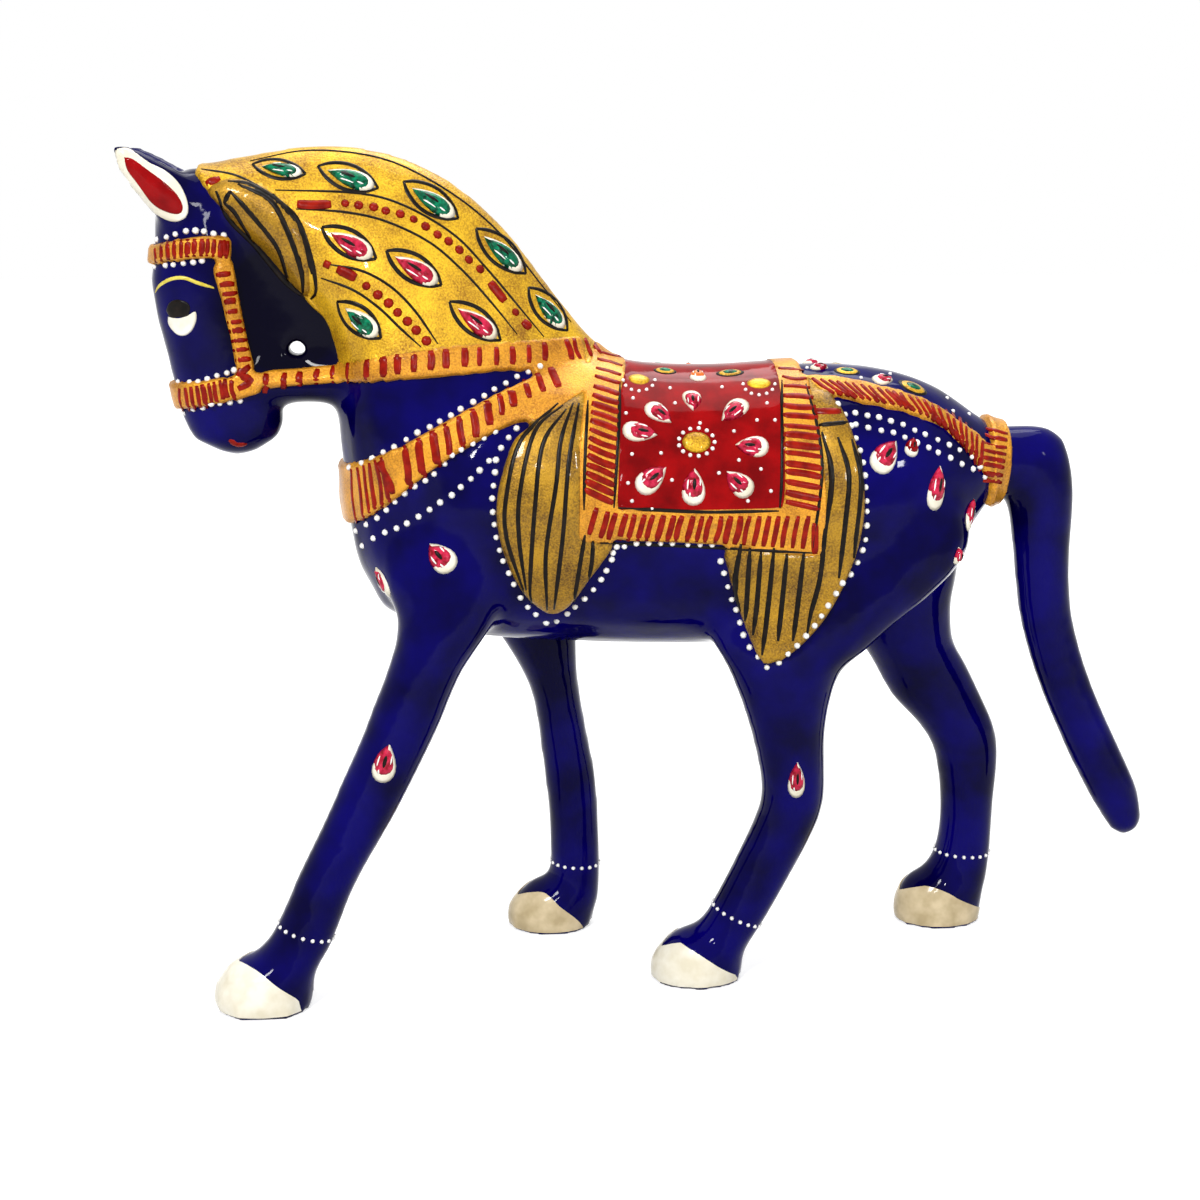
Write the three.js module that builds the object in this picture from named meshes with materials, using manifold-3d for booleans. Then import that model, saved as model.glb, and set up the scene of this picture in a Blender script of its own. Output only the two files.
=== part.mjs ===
// A walking horse ornament in cast aluminium, enamelled and dressed with raised harness.
// Millimetres, +Z up, the head towards -X, the near (left) side towards -Y, the soles on Z = 0.
import * as THREE from "three";
import { mergeVertices } from "three/addons/utils/BufferGeometryUtils.js";
import Module from "manifold-3d";

const wasm = await Module();
wasm.setup();

// Castings.
const wall = 3.5; // thickness of the hollow body shells
const legJointHeight = 64; // the legs' flat seats on the body's stumps
const tailJointX = 85; // the tail's flat seat on the dock
const legSpigotRadius = 4;
const legSpigotLength = 8; // above the seat
const tailSpigotRadius = 3.5;
const tailSpigotLength = 7; // ahead of the seat
const spigotRoot = 1; // how deep a spigot is rooted in its own leg or tail
const spigotClearance = 0.3; // all round a spigot and at its end
const throatHoleRadius = 1.9;
const webThickness = 9;
const hollowTrunkStations = 10; // the hollow ends ahead of the dock
const hollowNeckStations = 7; // and below the poll

// Raised work. Each height is measured from the casting's skin.
const seat = 0.3; // the film that every raised piece is bedded on
const seam = 0.3; // between neighbours that lie side by side
const strapHeight = 1.3;
const clothHeight = 1.0;
const maneHeight = 0.9;
const tasselHeight = 2.4;
const stoneHeight = 1.2;
const eyeHeight = 0.9;
const flankTasselInset = 9; // from the middle plane, so that it ends beside the belly

// How far the rounded ends reach past a limb's last section.
const chestDome = 11.4;
const pollDome = 2.4;
const chinDome = 1.6;
const tailTipDome = 3.6;
const earTipDome = 0.6;

// Hooves. The coronet, where cream meets blue, falls from the toe to the heel.
const coronetRise = 9.6;
const coronetFall = 1.4;
const coronetInset = 1.6; // from the toe back to where the coronet is measured

// Facets.
const trunkSides = 22;
const neckSides = 18;
const headSides = 16;
const limbSides = 12;
const slimSides = 10;
const stepsPerSpan = 2; // rings from one station to the next
const domeSteps = 3;

const NEAR = -1;
const FAR = 1;
const BOTH = 0;

// A station of a limb: where its section meets the side view on one edge (top or front) and on the
// other (bottom or rear), its half width, its place across the horse, and how much it thins on the
// first edge.
function station(edgeX, edgeZ, otherX, otherZ, half, across = 0, thin = 0) {
  return {
    edge: new THREE.Vector3(edgeX, 0, edgeZ),
    other: new THREE.Vector3(otherX, 0, otherZ),
    shape: new THREE.Vector3(half, across, thin),
  };
}

const trunk = [
  station(-44.8, 131, -40, 77, 17, 0, 0.1),
  station(-34, 132, -31, 74.5, 20.5),
  station(-20, 133, -18, 73, 22.5),
  station(-4, 133.2, -5, 72.2, 23.6),
  station(8, 130.8, 8, 71.6, 24),
  station(24, 130.2, 24, 71.3, 24),
  station(38, 131, 38, 72, 24),
  station(50, 131.2, 50, 74, 23.5),
  station(62, 129.6, 61, 78, 21.5),
  station(72, 125.9, 69, 85, 17),
  station(80, 120.4, 77.5, 92.6, 11.8),
  station(86, 117.3, 83.6, 101.6, 7.8),
];

const neck = [
  station(4, 131.6, -49.4, 92, 19, 0, 0.35),
  station(-3, 137, -53.2, 106, 18, 0, 0.45),
  station(-12.5, 149, -54.8, 119, 15.5, 0, 0.5),
  station(-21, 159.8, -54, 130, 13.5, 0, 0.5),
  station(-32, 168.8, -56, 140, 12, 0, 0.5),
  station(-44, 173.8, -60, 146, 10.5, 0, 0.5),
  station(-56, 175.2, -66, 152.5, 9.5, 0, 0.5),
  station(-68, 173.6, -72, 159, 8.5, 0, 0.4),
  station(-80, 171.2, -79.5, 163, 7),
];

const head = [
  station(-87.3, 168.5, -77, 169.5, 6.2),
  station(-90.4, 163, -74, 165, 8.3),
  station(-90.7, 156, -72.5, 158, 9.3),
  station(-91.8, 149, -71.5, 150, 9.3),
  station(-91, 142, -70.5, 141, 9),
  station(-89.2, 134, -69.5, 132, 8.4),
  station(-87.9, 127, -67.5, 126, 7.8),
  station(-86.8, 121.5, -65.5, 121, 7.4),
  station(-84.6, 116.6, -66.8, 117, 7),
  station(-80.2, 114.8, -70.5, 115, 5),
];

// The bar of metal under the reins, from the jaw to the throat.
const throat = [
  station(-72, 131.6, -72, 123.4, 8),
  station(-62, 131.2, -62, 123.8, 8),
  station(-50, 131.4, -50, 123.6, 9.5),
];

const nearFore = [
  station(-42, 112, -18, 114, 7.5, -8),
  station(-46, 99, -14, 100, 9.2, -11),
  station(-46.5, 89, -18, 90, 9.5, -13),
  station(-43.2, 81.4, -23.5, 79, 9, -15.2),
  station(-44.4, 73.7, -30, 70, 8, -17),
  station(-48.2, 63.8, -34.8, 58.9, 7, -18),
  station(-51.8, 55, -39.4, 49.5, 6.4, -18.5),
  station(-56.1, 45.6, -44.4, 40, 6, -19),
  station(-60, 37.2, -48.8, 32.6, 5.8, -19.5),
  station(-64.7, 27.8, -53.5, 24.1, 5.8, -20),
  station(-69.8, 16.7, -57.8, 13.4, 6, -21),
  station(-73.4, 12.2, -60.3, 9.3, 6.6, -21.5),
  station(-79, 8.3, -61.6, 6.2, 7.6, -22),
  station(-82.6, 3.2, -62, 2.6, 8.2, -22),
  station(-81.9, 0, -62.3, 0, 8.6, -22),
];

const farFore = [
  station(-40, 112, -12, 112, 7.5, 8),
  station(-40, 99, -5, 99, 9.2, 11),
  station(-36, 89, -3, 88, 9.5, 13),
  station(-28, 79, -3.5, 78, 9, 15.2),
  station(-21.6, 70.5, -3.7, 68, 8, 17),
  station(-16, 61.1, -3.4, 59.7, 6.8, 18),
  station(-13.4, 53.5, -2.5, 53.2, 6.2, 18.5),
  station(-12.1, 44.6, -1, 44.6, 5.9, 18.8),
  station(-11, 35.5, 0.7, 35.6, 5.7, 19),
  station(-10.1, 26.3, 1.3, 25.4, 5.7, 19.4),
  station(-9.8, 17.9, 1.7, 16.4, 5.8, 19.7),
  station(-10.1, 12.2, 1.6, 9.5, 6.3, 20),
  station(-14.4, 9, 1.2, 5.5, 7.3, 20),
  station(-19.6, 3.6, 0.2, 2.4, 8, 20),
  station(-19.2, 0, -0.2, 0, 8.4, 20),
];

const nearHind = [
  station(34, 112, 64, 114, 7.5, -9),
  station(25, 98, 77.5, 99, 9.5, -11.5, 0.3),
  station(21.5, 87, 74, 88.5, 10, -12.8, 0.35),
  station(21.2, 79, 62.5, 79, 9.6, -14, 0.35),
  station(22.6, 73.4, 54, 71.8, 9, -15, 0.25),
  station(24.6, 70.4, 50.3, 69.2, 8.7, -15.2, 0.15),
  station(27.4, 64.3, 47.9, 63.8, 8, -15.6),
  station(30.7, 54.5, 46.3, 54, 7, -15.7),
  station(32.9, 44.3, 46.7, 42.8, 6.5, -15.4),
  station(32.6, 38, 45.6, 35.6, 6.2, -15),
  station(28.4, 27.8, 40.8, 25, 5.8, -14.6),
  station(23.4, 17.6, 35, 14, 5.8, -14.4),
  station(20.2, 12.2, 32, 9, 6.4, -14),
  station(14.9, 8.8, 30.2, 5.8, 7.4, -14),
  station(9.9, 3.4, 29.9, 2.2, 8.1, -14),
  station(10.1, 0, 29.5, 0, 8.5, -14),
];

const farHind = [
  station(34, 112, 64, 114, 7.5, 9),
  station(34, 98, 77.5, 99, 9.5, 11.5, 0.3),
  station(42, 86, 82, 87, 10, 12.8, 0.3),
  station(54, 76, 80.8, 77, 9.6, 14.2),
  station(60.6, 66.5, 81.6, 67.5, 9, 15.4),
  station(64.1, 61, 84.8, 61.8, 8.4, 16),
  station(68.2, 53.8, 88.8, 54, 7.6, 16),
  station(74.2, 47.6, 92.6, 45.6, 6.8, 16),
  station(78.4, 41, 93.4, 38, 6.3, 16),
  station(80.2, 31, 92.8, 30.1, 6, 16),
  station(80.5, 23.7, 92.6, 22.9, 5.9, 16),
  station(79.5, 16.9, 92.4, 16, 6, 16),
  station(77.2, 12.6, 91.9, 10.7, 6.5, 16),
  station(73.4, 9.2, 91.2, 6.7, 7.4, 16),
  station(70.3, 3.8, 90.7, 2.6, 8, 16),
  station(70.6, 0, 90.3, 0, 8.4, 16),
];

const tail = [
  station(93, 117.5, 87.4, 101.8, 7.2),
  station(99.8, 114.8, 88.4, 100.4, 7),
  station(102.7, 103.6, 89.4, 96, 6.7),
  station(102.5, 91, 90.6, 88, 6.1),
  station(103.2, 79, 92, 77.5, 5.7),
  station(105.4, 69.8, 94.7, 67.5, 5.5),
  station(108.8, 60.5, 98.3, 58, 5.4),
  station(113.1, 51.3, 102.4, 49, 5.2),
  station(117.3, 43, 106.6, 40.5, 5),
  station(120.8, 35.5, 110.8, 33, 4.7),
  station(122, 29.6, 114.6, 27.2, 3.7),
];

const ear = [
  station(-79, 165, -86, 157.4, 3, 5),
  station(-82.5, 170, -88.8, 160.9, 3.2, 6),
  station(-86.5, 172.2, -91.8, 164.7, 3, 7),
  station(-90.5, 174.2, -94.3, 168.3, 2.6, 8),
  station(-93.8, 175.7, -96.2, 171.2, 2, 8.5),
  station(-95.8, 176.3, -96.9, 174.2, 1.1, 8.8),
];

const legs = { foreleg_near: nearFore, foreleg_far: farFore, hindleg_near: nearHind, hindleg_far: farHind };

// Distances past the whole horse: across it, for sweeping side-view outlines, and all round it.
const allStations = [trunk, neck, head, throat, tail, ear, ...Object.values(legs)].flat();
const halfDepth = 2 * Math.max(...allStations.map(({ shape }) => Math.abs(shape.y) + shape.x));
const farAway = 2 * Math.max(...allStations.map(({ edge, other }) => edge.length() + other.length()));

// The same limb on the other side of the horse.
function mirrored(stations) {
  return stations.map(({ edge, other, shape }) =>
    station(edge.x, edge.z, other.x, other.z, shape.x, -shape.y, shape.z),
  );
}

function solidOf(geometry) {
  const bare = geometry.clone();
  bare.deleteAttribute("normal");
  bare.deleteAttribute("uv");
  const merged = mergeVertices(bare, 1e-4);
  const triVerts = new Uint32Array(merged.index.array);
  const make = () =>
    new wasm.Manifold(
      new wasm.Mesh({
        numProp: 3,
        vertProperties: merged.attributes.position.array,
        triVerts,
      }),
    );
  const solid = make();
  if (solid.volume() > 0) return solid;
  triVerts.reverse();
  return make();
}

function geometryOf(solid) {
  const mesh = solid.getMesh();
  const geometry = new THREE.BufferGeometry();
  geometry.setAttribute(
    "position",
    new THREE.BufferAttribute(new Float32Array(mesh.vertProperties), 3),
  );
  geometry.setIndex(new THREE.BufferAttribute(new Uint32Array(mesh.triVerts), 1));
  geometry.computeVertexNormals();
  return geometry;
}

function joined(solids) {
  return solids.reduce((whole, next) => whole.add(next));
}

// A boolean can leave slivers beside the piece that is wanted.
function largest(solid) {
  const bodies = solid.decompose();
  return bodies.reduce((best, next) => (next.volume() > best.volume() ? next : best));
}

// A limb's skin: a smooth run of egg-shaped sections through its stations, its ends domed by a length.
// A positive grow lifts the whole skin outwards, a negative one sinks it.
function limb(stations, { sides = limbSides, perSpan = stepsPerSpan, grow = 0, domes = [0, 0] }) {
  const spans = stations.length - 1;
  const along = (key) =>
    new THREE.CatmullRomCurve3(stations.map((s) => s[key]), false, "catmullrom", 0.5);
  const [edgeCurve, otherCurve, shapeCurve] = ["edge", "other", "shape"].map(along);
  const rings = [];
  for (let i = 0; i <= spans * perSpan; i++) {
    const t = i / (spans * perSpan);
    const edge = edgeCurve.getPoint(t);
    const other = otherCurve.getPoint(t);
    const shape = shapeCurve.getPoint(t);
    rings.push({
      centre: edge.clone().add(other).multiplyScalar(0.5).setY(shape.y),
      normal: edge.clone().sub(other).normalize(),
      reach: edge.distanceTo(other) / 2 + grow,
      half: shape.x + grow,
      thin: shape.z,
    });
  }
  const positions = [];
  const addRing = (ring, scale, shift) => {
    for (let j = 0; j < sides; j++) {
      const angle = (2 * Math.PI * j) / sides;
      const up = Math.sin(angle);
      const wide = Math.cos(angle) * (1 - ring.thin * up);
      const point = ring.centre
        .clone()
        .addScaledVector(ring.normal, ring.reach * up * scale)
        .add(shift);
      point.y += ring.half * wide * scale;
      positions.push(point.x, point.y, point.z);
    }
  };
  const outwards = (ring, towards) => {
    const axis = new THREE.Vector3(ring.normal.z, 0, -ring.normal.x);
    return axis.dot(ring.centre.clone().sub(towards.centre)) < 0 ? axis.negate() : axis;
  };
  const first = rings[0];
  const last = rings[rings.length - 1];
  const startAxis = outwards(first, rings[1]);
  const endAxis = outwards(last, rings[rings.length - 2]);
  const startDome = domes[0] && domes[0] + grow;
  const endDome = domes[1] && domes[1] + grow;
  const domeRing = (ring, axis, length, k) => {
    const angle = (k / domeSteps) * (Math.PI / 2);
    addRing(ring, Math.cos(angle), axis.clone().multiplyScalar(length * Math.sin(angle)));
  };
  let count = 0;
  if (startDome) for (let k = domeSteps - 1; k > 0; k--, count++) domeRing(first, startAxis, startDome, k);
  for (const ring of rings) {
    addRing(ring, 1, new THREE.Vector3());
    count++;
  }
  if (endDome) for (let k = 1; k < domeSteps; k++, count++) domeRing(last, endAxis, endDome, k);
  const startPole = first.centre.clone().addScaledVector(startAxis, startDome);
  const endPole = last.centre.clone().addScaledVector(endAxis, endDome);
  positions.push(...startPole.toArray(), ...endPole.toArray());
  const startIndex = count * sides;
  const endIndex = startIndex + 1;
  const index = [];
  for (let j = 0; j < sides; j++) {
    const next = (j + 1) % sides;
    for (let i = 0; i < count - 1; i++) {
      const a = i * sides;
      const b = a + sides;
      index.push(a + j, a + next, b + next, a + j, b + next, b + j);
    }
    const lastRing = (count - 1) * sides;
    index.push(startIndex, next, j, endIndex, lastRing + j, lastRing + next);
  }
  const geometry = new THREE.BufferGeometry();
  geometry.setAttribute("position", new THREE.Float32BufferAttribute(positions, 3));
  geometry.setIndex(index);
  return solidOf(geometry);
}

function box(low, high) {
  const size = high.clone().sub(low);
  const geometry = new THREE.BoxGeometry(size.x, size.y, size.z);
  geometry.translate(...low.clone().add(high).multiplyScalar(0.5).toArray());
  return solidOf(geometry);
}

// Half of all space on the given side of a plane square to an axis.
function halfSpace(axis, value, above) {
  const low = new THREE.Vector3(-farAway, -farAway, -farAway);
  const high = new THREE.Vector3(farAway, farAway, farAway);
  (above ? low : high)[axis] = value;
  return box(low, high);
}

// A side-view outline swept across the horse, on its near side, its far side or both. On one side it
// starts at the inset from the middle plane.
function prism(points, side, smooth = false, inset = seam / 2) {
  const flat = points.map(([x, z]) => new THREE.Vector2(x, z));
  const shape = new THREE.Shape();
  shape.moveTo(flat[0].x, flat[0].y);
  if (smooth) shape.splineThru([...flat.slice(1), flat[0]]);
  else flat.slice(1).forEach((p) => shape.lineTo(p.x, p.y));
  const depth = side === BOTH ? 2 * halfDepth : halfDepth;
  const geometry = new THREE.ExtrudeGeometry(shape, { depth, bevelEnabled: false, curveSegments: 3 });
  geometry.rotateX(Math.PI / 2);
  if (side === NEAR) geometry.translate(0, -inset, 0);
  if (side === FAR) geometry.translate(0, halfDepth + inset, 0);
  if (side === BOTH) geometry.translate(0, halfDepth, 0);
  return solidOf(geometry);
}

// The thin plate between the head and the neck, with the small hole that is cast through it.
const webOutline = [
  [-80, 167],
  [-70, 162],
  [-60, 150],
  [-50, 136],
  [-50, 127],
  [-72, 127],
  [-76, 142],
];
const throatHole = new THREE.Vector3(-62.6, 0, 135.1);

function web(grow) {
  const plate = prism(webOutline, BOTH);
  const half = webThickness / 2 + grow;
  return plate.intersect(
    box(new THREE.Vector3(-farAway, -half, 0), new THREE.Vector3(farAway, half, farAway)),
  );
}

const spineSkin = (grow) =>
  limb([...trunk, ...tail], { sides: trunkSides, grow, domes: [chestDome, tailTipDome] });
const neckSkin = (grow) => limb(neck, { sides: neckSides, grow });
const headSkin = (grow) =>
  limb(head, { sides: headSides, perSpan: 1, grow, domes: [pollDome, chinDome] });
const throatSkin = (grow) => limb(throat, { sides: slimSides, perSpan: 1, grow });
const legSkin = (stations, grow) => limb(stations, { grow });

// The whole casting's skin, lifted by grow. Raised pieces are cut from the space between two of these.
const skins = new Map();
function skin(grow) {
  if (!skins.has(grow)) {
    skins.set(
      grow,
      joined([
        spineSkin(grow),
        neckSkin(grow),
        headSkin(grow),
        web(grow),
        throatSkin(grow),
        ...Object.values(legs).map((stations) => legSkin(stations, grow)),
      ]),
    );
  }
  return skins.get(grow);
}

// The hollow inside the trunk and neck.
function cavity() {
  const domes = [chestDome, chestDome / 2];
  const inTrunk = limb(trunk.slice(0, hollowTrunkStations), { grow: -wall, domes });
  const inNeck = limb(neck.slice(0, hollowNeckStations), { grow: -wall });
  return inTrunk.add(inNeck);
}

const group = new THREE.Group();

const finishes = {
  blue: { color: 0x0b0b7c, roughness: 0.12, metalness: 0 },
  gold: { color: 0xc9952a, roughness: 0.35, metalness: 0.8 },
  red: { color: 0xa30d12, roughness: 0.15, metalness: 0 },
  white: { color: 0xf2ecd8, roughness: 0.2, metalness: 0 },
  cream: { color: 0xe9dfc0, roughness: 0.25, metalness: 0 },
  pink: { color: 0xc8204a, roughness: 0.2, metalness: 0 },
};
const materials = Object.fromEntries(
  Object.entries(finishes).map(([name, look]) => [name, new THREE.MeshStandardMaterial(look)]),
);

function add(name, solid, finish) {
  const mesh = new THREE.Mesh(geometryOf(largest(solid)), materials[finish]);
  mesh.name = name;
  group.add(mesh);
  return mesh;
}

// Where a line across the horse first meets the skin from one side, and which way the skin faces there.
const skinMesh = new THREE.Mesh(geometryOf(skin(0)));
function surfaceHit(x, z, side) {
  const from = new THREE.Vector3(x, side * farAway, z);
  const caster = new THREE.Raycaster(from, new THREE.Vector3(0, -side, 0));
  const hit = caster.intersectObject(skinMesh)[0];
  return { point: hit.point, normal: hit.face.normal.clone() };
}

// The castings: two hollow halves, four legs and a tail, each with a round spigot in the body.
// A spigot stands on a seat's centre along an axis; its socket is the same rod, larger by the clearance.
function spigot(seatCentre, axis, radius, length, clearance = 0) {
  const reach = length + clearance;
  const round = radius + clearance;
  const geometry = new THREE.CylinderGeometry(round, round, reach + spigotRoot, limbSides);
  geometry.translate(0, (reach - spigotRoot) / 2, 0);
  const turn = new THREE.Quaternion().setFromUnitVectors(new THREE.Vector3(0, 1, 0), axis);
  geometry.applyQuaternion(turn);
  geometry.translate(...seatCentre.toArray());
  return solidOf(geometry);
}

function centreOf(solid) {
  const { min, max } = solid.boundingBox();
  return new THREE.Box3(new THREE.Vector3(...min), new THREE.Vector3(...max)).getCenter(new THREE.Vector3());
}

const slice = 0.2; // thickness of the section that a seat is centred on
const upwards = new THREE.Vector3(0, 0, 1);
const headwards = new THREE.Vector3(-1, 0, 0);
const aboveJoint = halfSpace("z", legJointHeight, true);
const belowJoint = halfSpace("z", legJointHeight, false);
const jointSlice = halfSpace("z", legJointHeight - slice, true).intersect(belowJoint);
const behindDock = halfSpace("x", tailJointX, true);
const beforeDock = halfSpace("x", tailJointX, false);
const dockSlice = halfSpace("x", tailJointX - slice, true).intersect(beforeDock);
const aboveFloor = halfSpace("z", 0, true);

const sockets = [];
const legSolids = {};
for (const [name, stations] of Object.entries(legs)) {
  const whole = legSkin(stations, 0);
  const seatCentre = centreOf(whole.intersect(jointSlice)).setZ(legJointHeight);
  const pin = spigot(seatCentre, upwards, legSpigotRadius, legSpigotLength);
  sockets.push(spigot(seatCentre, upwards, legSpigotRadius, legSpigotLength, spigotClearance));
  legSolids[name] = whole.intersect(belowJoint).intersect(aboveFloor).add(pin);
}
const dockCentre = centreOf(spineSkin(0).intersect(dockSlice)).setX(tailJointX);
const tailPin = spigot(dockCentre, headwards, tailSpigotRadius, tailSpigotLength);
sockets.push(spigot(dockCentre, headwards, tailSpigotRadius, tailSpigotLength, spigotClearance));
add("tail", largest(spineSkin(0).intersect(behindDock)).add(tailPin), "blue");

const throatDrill = new THREE.CylinderGeometry(throatHoleRadius, throatHoleRadius, 2 * halfDepth, limbSides);
throatDrill.translate(...throatHole.toArray());
const body = joined([
  spineSkin(0).intersect(beforeDock),
  neckSkin(0),
  headSkin(0),
  web(0),
  throatSkin(0),
  ...Object.values(legs).map((stations) => legSkin(stations, 0).intersect(aboveJoint)),
])
  .subtract(cavity())
  .subtract(solidOf(throatDrill))
  .subtract(joined(sockets));
add("body_shell_near", body.intersect(halfSpace("y", 0, false)), "blue");
add("body_shell_far", body.intersect(halfSpace("y", 0, true)), "blue");

// Hooves: each foot below its slanting coronet is a cream piece of its own.
for (const [name, stations] of Object.entries(legs)) {
  const [pastern, sole] = [stations.at(-3), stations.at(-1)];
  const toeX = pastern.edge.x + coronetInset;
  const heelX = sole.other.x;
  const slope = (coronetRise - coronetFall) / (heelX - toeX);
  const beforeToe = toeX - halfDepth;
  const behindHeel = heelX + halfDepth;
  const below = (drop) => [
    [beforeToe, coronetRise - drop + slope * (toeX - beforeToe)],
    [behindHeel, coronetFall - drop + slope * (heelX - behindHeel)],
    [behindHeel, -farAway],
    [beforeToe, -farAway],
  ];
  const leg = legSolids[name];
  add(name, leg.subtract(prism(below(0), BOTH)), "blue");
  add(name.replace("leg", "hoof"), largest(leg.intersect(prism(below(seam), BOTH))), "cream");
}

for (const [name, stations] of [
  ["ear_near", mirrored(ear)],
  ["ear_far", ear],
]) {
  const leaf = limb(stations, { sides: slimSides, perSpan: 1, domes: [0, earTipDome] });
  add(name, leaf.subtract(skin(seat)), "blue");
}

// A strap's outline from its upper and lower edges.
function band(upper, lower) {
  return [...upper, ...lower.toReversed()];
}

// The same outline moved outwards by a distance.
function outset(points, distance) {
  const flat = points.map(([x, z]) => new THREE.Vector2(x, z));
  const turn = THREE.ShapeUtils.isClockWise(flat) ? -1 : 1;
  const outward = (from, to) => {
    const along = to.clone().sub(from).normalize();
    return new THREE.Vector2(along.y * turn, -along.x * turn);
  };
  return flat.map((corner, i) => {
    const before = outward(flat.at(i - 1), corner);
    const after = outward(corner, flat[(i + 1) % flat.length]);
    const mitre = before.clone().add(after).normalize();
    const reach = distance / Math.max(0.5, mitre.dot(before));
    return [corner.x + mitre.x * reach, corner.y + mitre.y * reach];
  });
}

// The saddle cloth's edges in side view. Each column of points runs from above the back down to the hem.
const overBack = 142;
const clothFront = [[2.6, overBack], [-1.4, 134.6], [-4.2, 127.5], [-5.8, 118], [-6.2, 98.1]];
const clothFrontInner = [[5.6, overBack], [4.6, 131.4], [2.4, 126], [0.7, 97.6]];
const clothRearInner = [[36.7, overBack], [36.1, 127.7], [35.3, 105.3], [34.9, 95]];
const clothRear = [[41.4, overBack], [41.6, 128.6], [42.9, 115.5], [43.6, 105.2], [43.4, 94.2]];
const hemTop = [[-6, 104.7], [18.3, 103.6], [43.5, 104.3]];
const hemBottom = [[-6.2, 98.1], [10.2, 97.6], [24.5, 96.6], [43.4, 94.2]];

const reinTop = [[-72, 131], [-61.7, 131.5], [-52.6, 132.6], [-41.5, 134.9], [-31.4, 136.2], [-4.2, 137]];
const reinBottom = [[-72, 126.6], [-65.8, 127.6], [-53.7, 128.8], [-41.6, 130], [-21.3, 131.5], [-4, 131.4]];
const collarTop = [[-62, 108.6], [-52.5, 112.4], [-41.8, 116.9], [-31.7, 122.3], [-21.6, 127.4], [-4, 134]];
const collarBottom = [[-62, 94.6], [-51.6, 100.2], [-38, 108.8], [-29.8, 114.2], [-21.7, 117.7], [-4, 127.6]];
const dockX = tailJointX - 3;
const crupperTop = [
  [42, 129.8], [50.5, 128.8], [57.2, 127.1], [63, 125.5], [69.7, 122.8], [77.3, 118.1], [dockX, 114.2],
];
const crupperBottom = [
  [44, 127.1], [50.7, 125.5], [57, 124.3], [63.3, 122.4], [69.3, 119.7], [75.7, 114.6], [dockX, 106.4],
];

const rein = { points: band(reinTop, reinBottom) };
const collar = { points: band(collarTop, collarBottom) };
const borderFront = { points: band(clothFront, clothFrontInner) };
const borderRear = { points: band(clothRearInner, clothRear) };
const cloth = { points: [clothFront.at(0), hemTop.at(0), hemTop.at(-1), clothRear.at(0)] };
const hem = { points: band(hemTop, hemBottom) };
const crupper = { points: band(crupperTop, crupperBottom) };
// The ring that hides the tail's joint.
const dockCollar = {
  points: [
    [tailJointX - 2.2, 124], [tailJointX - 3.2, 101.2], [tailJointX + 0.9, 99.6], [tailJointX + 2.5, 124],
  ],
};
const browband = {
  points: [[-99, 155.6], [-90.5, 156.4], [-84.6, 157.7], [-77.7, 158.3], [-74.7, 157.9], [-74.9, 153],
    [-81.8, 153.8], [-90.1, 152.5], [-99, 151.8]],
};
const noseband = {
  points: [[-96, 128.4], [-87.1, 128.7], [-79.9, 129.4], [-74.3, 130.4], [-69.8, 131], [-69.4, 126.3],
    [-74.1, 125.3], [-86.2, 123], [-96, 121.4]],
};
const cheekStrap = {
  points: [[-78.4, 156], [-74.9, 156], [-73.6, 145.5], [-72, 136.5], [-70.2, 129], [-74.2, 128],
    [-75.1, 137.5], [-76.8, 145.5], [-78.3, 151.4]],
};
const pollTassel = {
  points: [[-79.1, 166.9], [-75.7, 168.8], [-72.2, 168.8], [-67.4, 167.1], [-62.6, 162.8], [-60.1, 156.4],
    [-59.3, 149.5], [-60, 146.1], [-63.1, 148.5], [-68.4, 155.4], [-72.5, 159.3], [-75.9, 163.2]],
  smooth: true,
};
const mane = {
  points: [[-80, 180], [-81.5, 171], [-79.3, 167.4], [-75.6, 163.6], [-68.6, 155.3], [-60.8, 145.3],
    [-56.5, 141.3], [-53.1, 130], [-10, 132], [0, 132], [8, 142], [-10, 178], [-50, 190]],
};
const shoulderTassel = {
  points: [[-5.3, 131.5], [-11.9, 126.2], [-17.9, 120.3], [-21.4, 112.3], [-22.9, 104.3], [-21.7, 96.1],
    [-18.2, 87.8], [-14.2, 83.2], [-11.1, 81.6], [-8, 83.5], [-4, 89.6], [-1.3, 93.7], [1.2, 98.6],
    [1.4, 112]],
  smooth: true,
};
const flankTassel = {
  points: [[40, 131], [45.3, 126.8], [48.9, 121.7], [51.4, 111.6], [51.9, 103.3], [50.3, 93], [45.4, 82.7],
    [39.3, 75.4], [32.7, 71.3], [29.9, 74.5], [26.7, 83], [24.5, 90.3], [23.8, 98.6], [36, 112]],
  smooth: true,
  inset: flankTasselInset,
};
const eye = {
  points: [[-87.8, 145.5], [-84.8, 146.1], [-82.3, 143.1], [-82.5, 139.9], [-84.5, 138.1], [-87, 140.1],
    [-88.3, 143.1]],
  smooth: true,
};

// A raised piece: the space under an outline between two skins, less the seams to what lies over or
// beside it.
function relief({ points, smooth, inset }, side, height, neighbours) {
  const shell = prism(points, side, smooth, inset).intersect(skin(height)).subtract(skin(seat));
  return neighbours.reduce(
    (piece, next) => piece.subtract(prism(outset(next.points, seam), BOTH, next.smooth)),
    shell,
  );
}

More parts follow.
